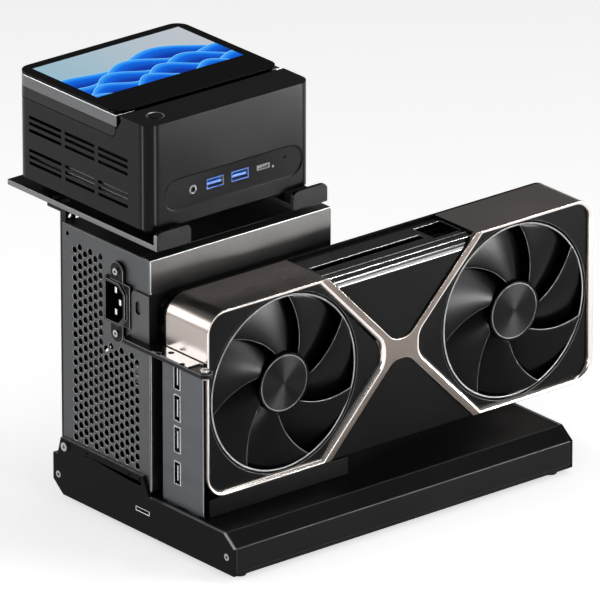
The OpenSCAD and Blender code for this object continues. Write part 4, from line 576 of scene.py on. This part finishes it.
def blade_shape(centre, turn):
    """One blade: its counter-clockwise edge is in front and gets a paler grey as a painted
    highlight, and it falls away behind.
    """
    shape = bmesh.new()
    bmesh.ops.create_grid(shape, x_segments=14, y_segments=16, size=1.0)
    for vert in shape.verts:
        out, along = (vert.co.x + 1) / 2, vert.co.y
        radius = ROOT + (TIP - ROOT) * out
        angle = midline(turn, out) + radians(along * CHORD / 2)
        back = FALL * ((1 - along) / 2) ** 2
        vert.co = centre + Vector((radius * cos(angle), back, radius * sin(angle))) * MM
    bmesh.ops.recalc_face_normals(shape, faces=shape.faces)
    bmesh.ops.solidify(shape, geom=shape.faces[:], thickness=THICK * MM)
    bmesh.ops.recalc_face_normals(shape, faces=shape.faces)
    bevel(shape, sharp_edges(shape, 50), 0.25 * MM, 2)
    # The faces along the front edge get the paler grey: a painted highlight.
    for face in shape.faces:
        reach = face.calc_center_median() - centre
        out = (Vector((reach.x, 0, reach.z)).length / MM - ROOT) / (TIP - ROOT)
        ahead = atan2(reach.z, reach.x) - midline(turn, min(max(out, 0), 1))
        ahead = (ahead + pi) % (2 * pi) - pi
        if ahead > radians(CHORD * 0.49) and face.normal.y < -0.3:
            face.material_index = 2
    return shape


def joined(shapes):
    """One bmesh from several, through a mesh that is thrown away."""
    whole = bmesh.new()
    for shape in shapes:
        carrier = bpy.data.meshes.new("carrier")
        shape.to_mesh(carrier)
        shape.free()
        whole.from_mesh(carrier)
        bpy.data.meshes.remove(carrier)
    return whole


print("blades", BLADES, "each turned by", round(360 / BLADES, 1), "degrees")

# %% [markdown]
# The hub's cap is turned metal: its fine circles spread a light into two opposite fans of
# brightness. The circles could be real grooves, but hundreds of them would be needed. The
# shader's anisotropy does the same when its tangent points away from the shaft.


# %% Turned metal
def turned_metal(name, centre, colour):
    material = finish(name, colour, metallic=1.0, smooth=0.34, rough=0.42, size=1500, bump=0.02)
    tree = material.node_tree
    shader = tree.nodes["Principled BSDF"]
    place = add_node(tree, "ShaderNodeTexCoord").outputs["Object"]
    arm = add_node(tree, "ShaderNodeVectorMath", [(0, place)], operation="SUBTRACT")
    arm.inputs[1].default_value = centre
    turned = add_node(tree, "ShaderNodeVectorTransform", [(0, arm.outputs[0])],
                      vector_type="VECTOR", convert_from="OBJECT", convert_to="WORLD")
    tree.links.new(turned.outputs[0], shader.inputs["Tangent"])
    shader.inputs["Anisotropic"].default_value = 0.9
    return material

# %% [markdown]
# Both fans of the card are the same part. They could share one mesh, but each rides on a body
# of its own and each cap's highlight is centred on its own shaft. So a function makes each fan
# in its place, and picks the cap and the rims by their distance from the shaft. The rims get a
# paler grey, a painted highlight.

# %% The two card fans
BLADE_DEPTH, CAP_DEPTH = 3.7 * MM, 2.4 * MM
CAP_RADIUS, RIM_RADIUS, RING_RADIUS = 17.2 * MM, 17.8 * MM, 54.9 * MM
HUB = [(0, 2.35), (17.2, 2.35), (17.35, 2.6), (17.75, 2.6), (17.95, 2.3), (18.9, 2.3),
       (19.3, 2.7), (19.3, 12.8), (17.6, 12.8), (17.6, 4.4), (0, 4.4)]
RING = [(55.0, 3.3), (55.3, 3.2), (55.9, 3.2), (56.1, 3.4), (56.1, 12.8), (55.0, 12.8),
        (55.0, 3.3)]


def card_fan(name, body, centre):
    centre = Vector((centre.x, CARD_FRONT, centre.z))
    front = centre + Vector((0, BLADE_DEPTH, 0))
    blades = [blade_shape(front, TURNED_BY + i * 360 / BLADES) for i in range(BLADES)]
    shape = joined([spun(HUB, centre), spun(RING, centre)] + blades)
    cap = name + " cap"
    FINISH[cap] = turned_metal(cap, centre, grey(0.014))
    for face in shape.faces:
        middle = face.calc_center_median()
        reach = Vector((middle.x - centre.x, 0, middle.z - centre.z)).length
        on_a_rim = reach > RING_RADIUS or CAP_RADIUS < reach < RIM_RADIUS
        if reach < CAP_RADIUS and face.normal.y < -0.9 and middle.y < centre.y + CAP_DEPTH:
            face.material_index = 1
        # The rims that face forward get a paler grey: a painted highlight.
        elif face.normal.y < -0.3 and on_a_rim:
            face.material_index = 2
    add_piece(name + ".dressed", shape, body, ["fan plastic", cap, "grey edge and painted highlight"],
              [name], 40, even=False)


card_fan("card_fan_left", "left_fan", FAN_CENTRES[0])
card_fan("card_fan_right", "right_fan", FAN_CENTRES[1])
print("fans made")

# %% [markdown]
# The small computer is a dark satin block with round corners. Its ports lie in a darker pill-
# shaped recess, and its power button has a thin bright ring. The ring could be a torus laid on
# top. The case has a rim round the button already, so the script picks the faces of that rim.

# %% Small computer
BUTTON = at(21.8, 100.1, 260.7)
BUTTON_RING, BUTTON_RIM = 5.75 * MM, 0.6 * MM


def round_the_button(face):
    return all((vert.co - BUTTON).xy.length < BUTTON_RING and vert.co.z > BUTTON.z - BUTTON_RIM
               for vert in face.verts)


dressed("mini_case", ["computer skin", "bright metal and painted highlight"], 0.3, 2, edge_faces=round_the_button)
dressed("mini_bottom", ["computer skin"], 0.3, 2)
dressed("mini_feet", ["rubber"], 0.5, 2)
dressed("port_panel", ["port recess"], 0.1, 1)
dressed("power_button", ["computer skin"], 0.25, 2)

# %% [markdown]
# The two wide sockets have a blue tongue, and a perforated sheet stands behind the lower
# vents. Its holes could be a mask in the material, but then the mesh itself would have none.
# So the sheet is a grid whose faces are inset and then opened.

# %% Sockets and the sheet behind the vents
TONGUE_Z = (at(0, 0, 212.2).z, at(0, 0, 214.3).z)
TONGUE_X = [(at(51.5, 0, 0).x, at(62.3, 0, 0).x), (at(70.6, 0, 0).x, at(81.4, 0, 0).x)]
SHEET = (at(6.9, 104.5, 203.2), at(6.9, 168.5, 215.6))


def on_tongue(face):
    middle = face.calc_center_median()
    return TONGUE_Z[0] < middle.z < TONGUE_Z[1] and any(a < middle.x < b for a, b in TONGUE_X)


def vent_mesh():
    low, high = SHEET
    shape = bmesh.new()
    bmesh.ops.create_grid(shape, x_segments=36, y_segments=7, size=0.5)
    for vert in shape.verts:
        across, up = vert.co.x + 0.5, vert.co.y + 0.5
        vert.co = (low.x, low.y + (high.y - low.y) * across, low.z + (high.z - low.z) * up)
    cells = shape.faces[:]
    bmesh.ops.inset_individual(shape, faces=cells, thickness=0.28 * MM)
    bmesh.ops.delete(shape, geom=cells, context="FACES_ONLY")
    bmesh.ops.recalc_face_normals(shape, faces=shape.faces)
    bmesh.ops.solidify(shape, geom=shape.faces[:], thickness=0.3 * MM)
    bmesh.ops.recalc_face_normals(shape, faces=shape.faces)
    return shape


dressed("mini_ports", ["grey edge and painted highlight", "port blue"], 0.08, 1, edge_faces=on_tongue)
add_piece("vent_mesh", vent_mesh(), "computer", ["bright metal and painted highlight"], even=False)
print("tongues", len(TONGUE_X))

# %% [markdown]
# The screen lies closed over the rear of the computer, in a silver housing with a bright line
# along its upper edge. The line could be a strip of its own. The housing's upper bevel runs
# exactly there, so it gets the brightest metal, a painted highlight.

# %% Screen housing and back
# Bevels that look up get the bright metal: a painted highlight.
dressed("screen_housing", ["screen silver", "bright metal and painted highlight"], 0.4, 2, bright=faces_up)
dressed("screen_back", ["screen dark"], 0.4, 2)

# %% [markdown]
# The screen shows a generic picture: rows of blue dunes on a pale blue grey field. It could be
# an image, but then the lesson would need a file. Mathematics draws it instead: the crest of
# each row is a sine wave that falls off to both sides, and below it the blue deepens. Outside
# the display the glass is black. The picture glows a little, as a lit screen does.

# %% Cover glass and display
DISPLAY = (at(11.6, 142.7, 260), at(124.4, 205.4, 262))
DUNES = 5
PALE_FIELD = [(0.0, (0.30, 0.48, 0.58)), (1.0, (0.50, 0.52, 0.56))]
DUNE_BLUES = [(0.0, (0.30, 0.68, 0.95)), (0.03, (0.04, 0.36, 0.92)), (0.18, (0.0, 0.13, 0.74)),
              (0.5, (0.0, 0.035, 0.36))]


def ramp(tree, source, stops):
    node = add_node(tree, "ShaderNodeValToRGB", [("Fac", source)])
    while len(node.color_ramp.elements) < len(stops):
        node.color_ramp.elements.new(0.5)
    for element, (place, colour) in zip(node.color_ramp.elements, stops):
        element.position = place
        element.color = (*colour, 1.0)
    return node.outputs[0]


def math_node(tree, operation, a, b=0.0, c=0.5):
    node = add_node(tree, "ShaderNodeMath", operation=operation)
    for index, value in enumerate((a, b, c)):
        if isinstance(value, (int, float)):
            node.inputs[index].default_value = value
        else:
            tree.links.new(value, node.inputs[index])
    return node.outputs[0]


def cover_glass():
    material = bpy.data.materials.new("cover glass")
    material.use_nodes = True
    tree = material.node_tree
    shader = tree.nodes["Principled BSDF"]
    place = add_node(tree, "ShaderNodeTexCoord").outputs["Object"]
    middle = (DISPLAY[0] + DISPLAY[1]) / 2
    centred = add_node(tree, "ShaderNodeVectorMath", [(0, place)], operation="SUBTRACT")
    centred.inputs[1].default_value = middle
    parts = add_node(tree, "ShaderNodeSeparateXYZ", [(0, centred.outputs[0])]).outputs
    half = (DISPLAY[1] - DISPLAY[0]) / 2
    across = math_node(tree, "LESS_THAN", math_node(tree, "ABSOLUTE", parts[0], 0.0), half.x)
    deep = math_node(tree, "LESS_THAN", math_node(tree, "ABSOLUTE", parts[1], 0.0), half.y)
    lit = math_node(tree, "MULTIPLY", across, deep)
    u = math_node(tree, "DIVIDE", parts[0], half.x)
    v = math_node(tree, "DIVIDE", parts[1], half.y)
    picture = ramp(tree, math_node(tree, "MULTIPLY_ADD", u, 0.5), PALE_FIELD)
    fall = math_node(tree, "MULTIPLY", math_node(tree, "MULTIPLY", u, u), 0.3)
    for layer in range(DUNES):
        phase = math_node(tree, "MULTIPLY_ADD", u, 4.2 + 0.9 * layer, 2.3 * layer)
        swell = math_node(tree, "SINE", phase)
        crest = math_node(tree, "MULTIPLY_ADD", swell, 0.22, 0.25 - 0.27 * layer)
        drop = math_node(tree, "SUBTRACT", math_node(tree, "SUBTRACT", crest, fall), v)
        shade = ramp(tree, drop, DUNE_BLUES)
        over = add_node(tree, "ShaderNodeMix", [("Factor", math_node(tree, "GREATER_THAN", drop))],
                        data_type="RGBA")
        tree.links.new(picture, over.inputs[6])
        tree.links.new(shade, over.inputs[7])
        picture = over.outputs[2]
    shown = add_node(tree, "ShaderNodeMix", [("Factor", lit)], data_type="RGBA")
    shown.inputs[6].default_value = (0.002, 0.002, 0.003, 1)
    tree.links.new(picture, shown.inputs[7])
    glow = add_node(tree, "ShaderNodeMix", [("Factor", lit)], data_type="RGBA")
    glow.inputs[6].default_value = (0, 0, 0, 1)
    tree.links.new(picture, glow.inputs[7])
    tree.links.new(shown.outputs[2], shader.inputs["Base Color"])
    tree.links.new(glow.outputs[2], shader.inputs["Emission Color"])
    shader.inputs["Emission Strength"].default_value = 0.6
    shader.inputs["Roughness"].default_value = 0.08
    shader.inputs["Specular IOR Level"].default_value = 0.05
    return material


FINISH["cover glass"] = cover_glass()
dressed("screen_glass", ["cover glass"], 0.5, 3)
print("rows of dunes", DUNES)

# %% [markdown]
# Screws, boards, fins and heat pipes are small or lie inside. They could be copied and
# bevelled too, but hardly any of it would show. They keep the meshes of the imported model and
# only get a finish.

# %% Finishes for the other nodes
PLAIN = {
    "base_floor": "base coat", "base_screws": "zinc", "main_board": "green board",
    "board_standoffs": "brass", "pcie_slot": "moulding", "slot_latch": "latch plastic",
    "power_header": "ivory nylon", "psu_pads": "rubber", "psu_screws": "zinc",
    "psu_fan_rotor": "fan plastic", "psu_board": "green board", "psu_heatsinks": "aluminium",
    "psu_components": "wound parts", "tray_screws": "zinc", "card_fins": "fins",
    "heat_pipes": "copper", "cold_plate": "copper", "card_board": "black board",
    "card_chips": "moulding", "mini_board": "black board", "mini_cooler": "fins",
    "hinge_pins": "zinc",
}
for node, label in PLAIN.items():
    mesh = frame["nodes"][node].data
    mesh.materials.clear()
    mesh.materials.append(FINISH[label])
    mesh.shade_smooth()
    mesh.set_sharp_from_angle(angle=radians(30))
print("plain nodes", len(PLAIN))

# %% [markdown]
# The object stands on a wide pale floor. It could be lit until it is white, but that light
# would turn the black parts grey. So the floor glows a little to the camera and in
# reflections, reads as white and still keeps the object's shadow.

# %% Floor
FLOOR_TONE, FLOOR_GLOW = 0.82, 0.58
FLOOR_REACH = 20.0


def floor_finish():
    material = bpy.data.materials.new("pale floor")
    material.use_nodes = True
    tree = material.node_tree
    shader = tree.nodes["Principled BSDF"]
    shader.inputs["Base Color"].default_value = (*grey(FLOOR_TONE), 1)
    shader.inputs["Roughness"].default_value = 0.9
    shader.inputs["Specular IOR Level"].default_value = 0.0
    path = add_node(tree, "ShaderNodeLightPath").outputs
    seen = math_node(tree, "MAXIMUM", path["Is Camera Ray"], path["Is Glossy Ray"])
    seen = math_node(tree, "MAXIMUM", seen, path["Is Transmission Ray"])
    glow = math_node(tree, "MULTIPLY", seen, FLOOR_GLOW)
    tree.links.new(glow, shader.inputs["Emission Strength"])
    shader.inputs["Emission Color"].default_value = (1, 1, 1, 1)
    return material


floor_shape = bmesh.new()
bmesh.ops.create_grid(floor_shape, x_segments=1, y_segments=1, size=FLOOR_REACH)
floor_mesh = bpy.data.meshes.new("floor")
floor_shape.to_mesh(floor_mesh)
floor_shape.free()
floor_mesh.materials.append(floor_finish())
floor = bpy.data.objects.new("floor", floor_mesh)
bpy.context.scene.collection.objects.link(floor)
print("floor reaches", FLOOR_REACH, "m to each side")

# %% [markdown]
# Dark glossy things show each lamp as a band of light. Even light from all sides would be
# simpler, but it would leave no bands. A large soft lamp hangs overhead, and a narrow bright
# one at the right in front draws the bands along the card. A lamp just above the floor gives
# the fan blades their highlights, and small strips light the computer's upright corners. No
# lamp shows to the camera.


# %% Lamps and world
def lamp(name, place, aim, width, height, power, spread=180):
    data = bpy.data.lights.new(name, "AREA")
    data.shape = "RECTANGLE"
    data.size, data.size_y, data.energy, data.spread = width, height, power, radians(spread)
    lamp_object = bpy.data.objects.new(name, data)
    lamp_object.location = place
    direction = Vector(aim) - Vector(place)
    lamp_object.rotation_euler = direction.to_track_quat("-Z", "Y").to_euler()
    lamp_object.visible_camera = False
    bpy.context.scene.collection.objects.link(lamp_object)


lamp("overhead", (0.45, 0.05, 1.35), (0, 0, 0.1), 1.0, 0.6, 4.0)
lamp("right front", (0.88, -1.02, 0.90), (0, 0, 0.12), 0.5, 0.12, 3.0)
lamp("front low", (0.85, -1.05, 0.30), (0, -0.08, 0.12), 0.30, 0.2, 3.0)
lamp("back left", (-0.68, 0.79, 0.40), (-0.15, -0.06, 0.14), 0.5, 0.45, 3.5)
lamp("right floor", (0.50, -0.615, 0.035), (0, -0.1, 0.10), 0.32, 0.05, 0.55, 60)
lamp("left strip", (-0.54, 0.05, 0.1), (-0.14, -0.02, 0.2), 0.06, 0.2, 0.5)
lamp("front strip", (-0.15, -0.43, 0.1), (-0.14, -0.02, 0.2), 0.06, 0.2, 0.6)

world = bpy.data.worlds.new("studio")
world.use_nodes = True
world.node_tree.nodes["Background"].inputs["Color"].default_value = (0.13, 0.13, 0.132, 1)
bpy.context.scene.world = world
bpy.context.scene.view_settings.view_transform = "Standard"
print("lamps", len(bpy.data.lights))

# %% [markdown]
# The camera stands where the photograph was taken from: to the left in front, 22 degrees up.
# It could stand near with a short lens. The lines of the photograph stay almost parallel, so
# it stands far away with a long one.

# %% Camera
CAMERA_PLACE = at(-3872.65, -4765.01, 2660.79)
LOOKS_DOWN, LOOKS_RIGHT = 22.01, 39.47
camera_data = bpy.data.cameras.new("camera")
camera_data.lens = 672.0
camera_data.sensor_width = 36.0
camera_data.clip_end = 100.0
camera = bpy.data.objects.new("camera", camera_data)
camera.location = CAMERA_PLACE
camera.rotation_euler = Euler((radians(90 - LOOKS_DOWN), 0, radians(-LOOKS_RIGHT)))
bpy.context.scene.collection.objects.link(camera)
bpy.context.scene.camera = camera
print("camera", [round(c, 3) for c in camera.location])
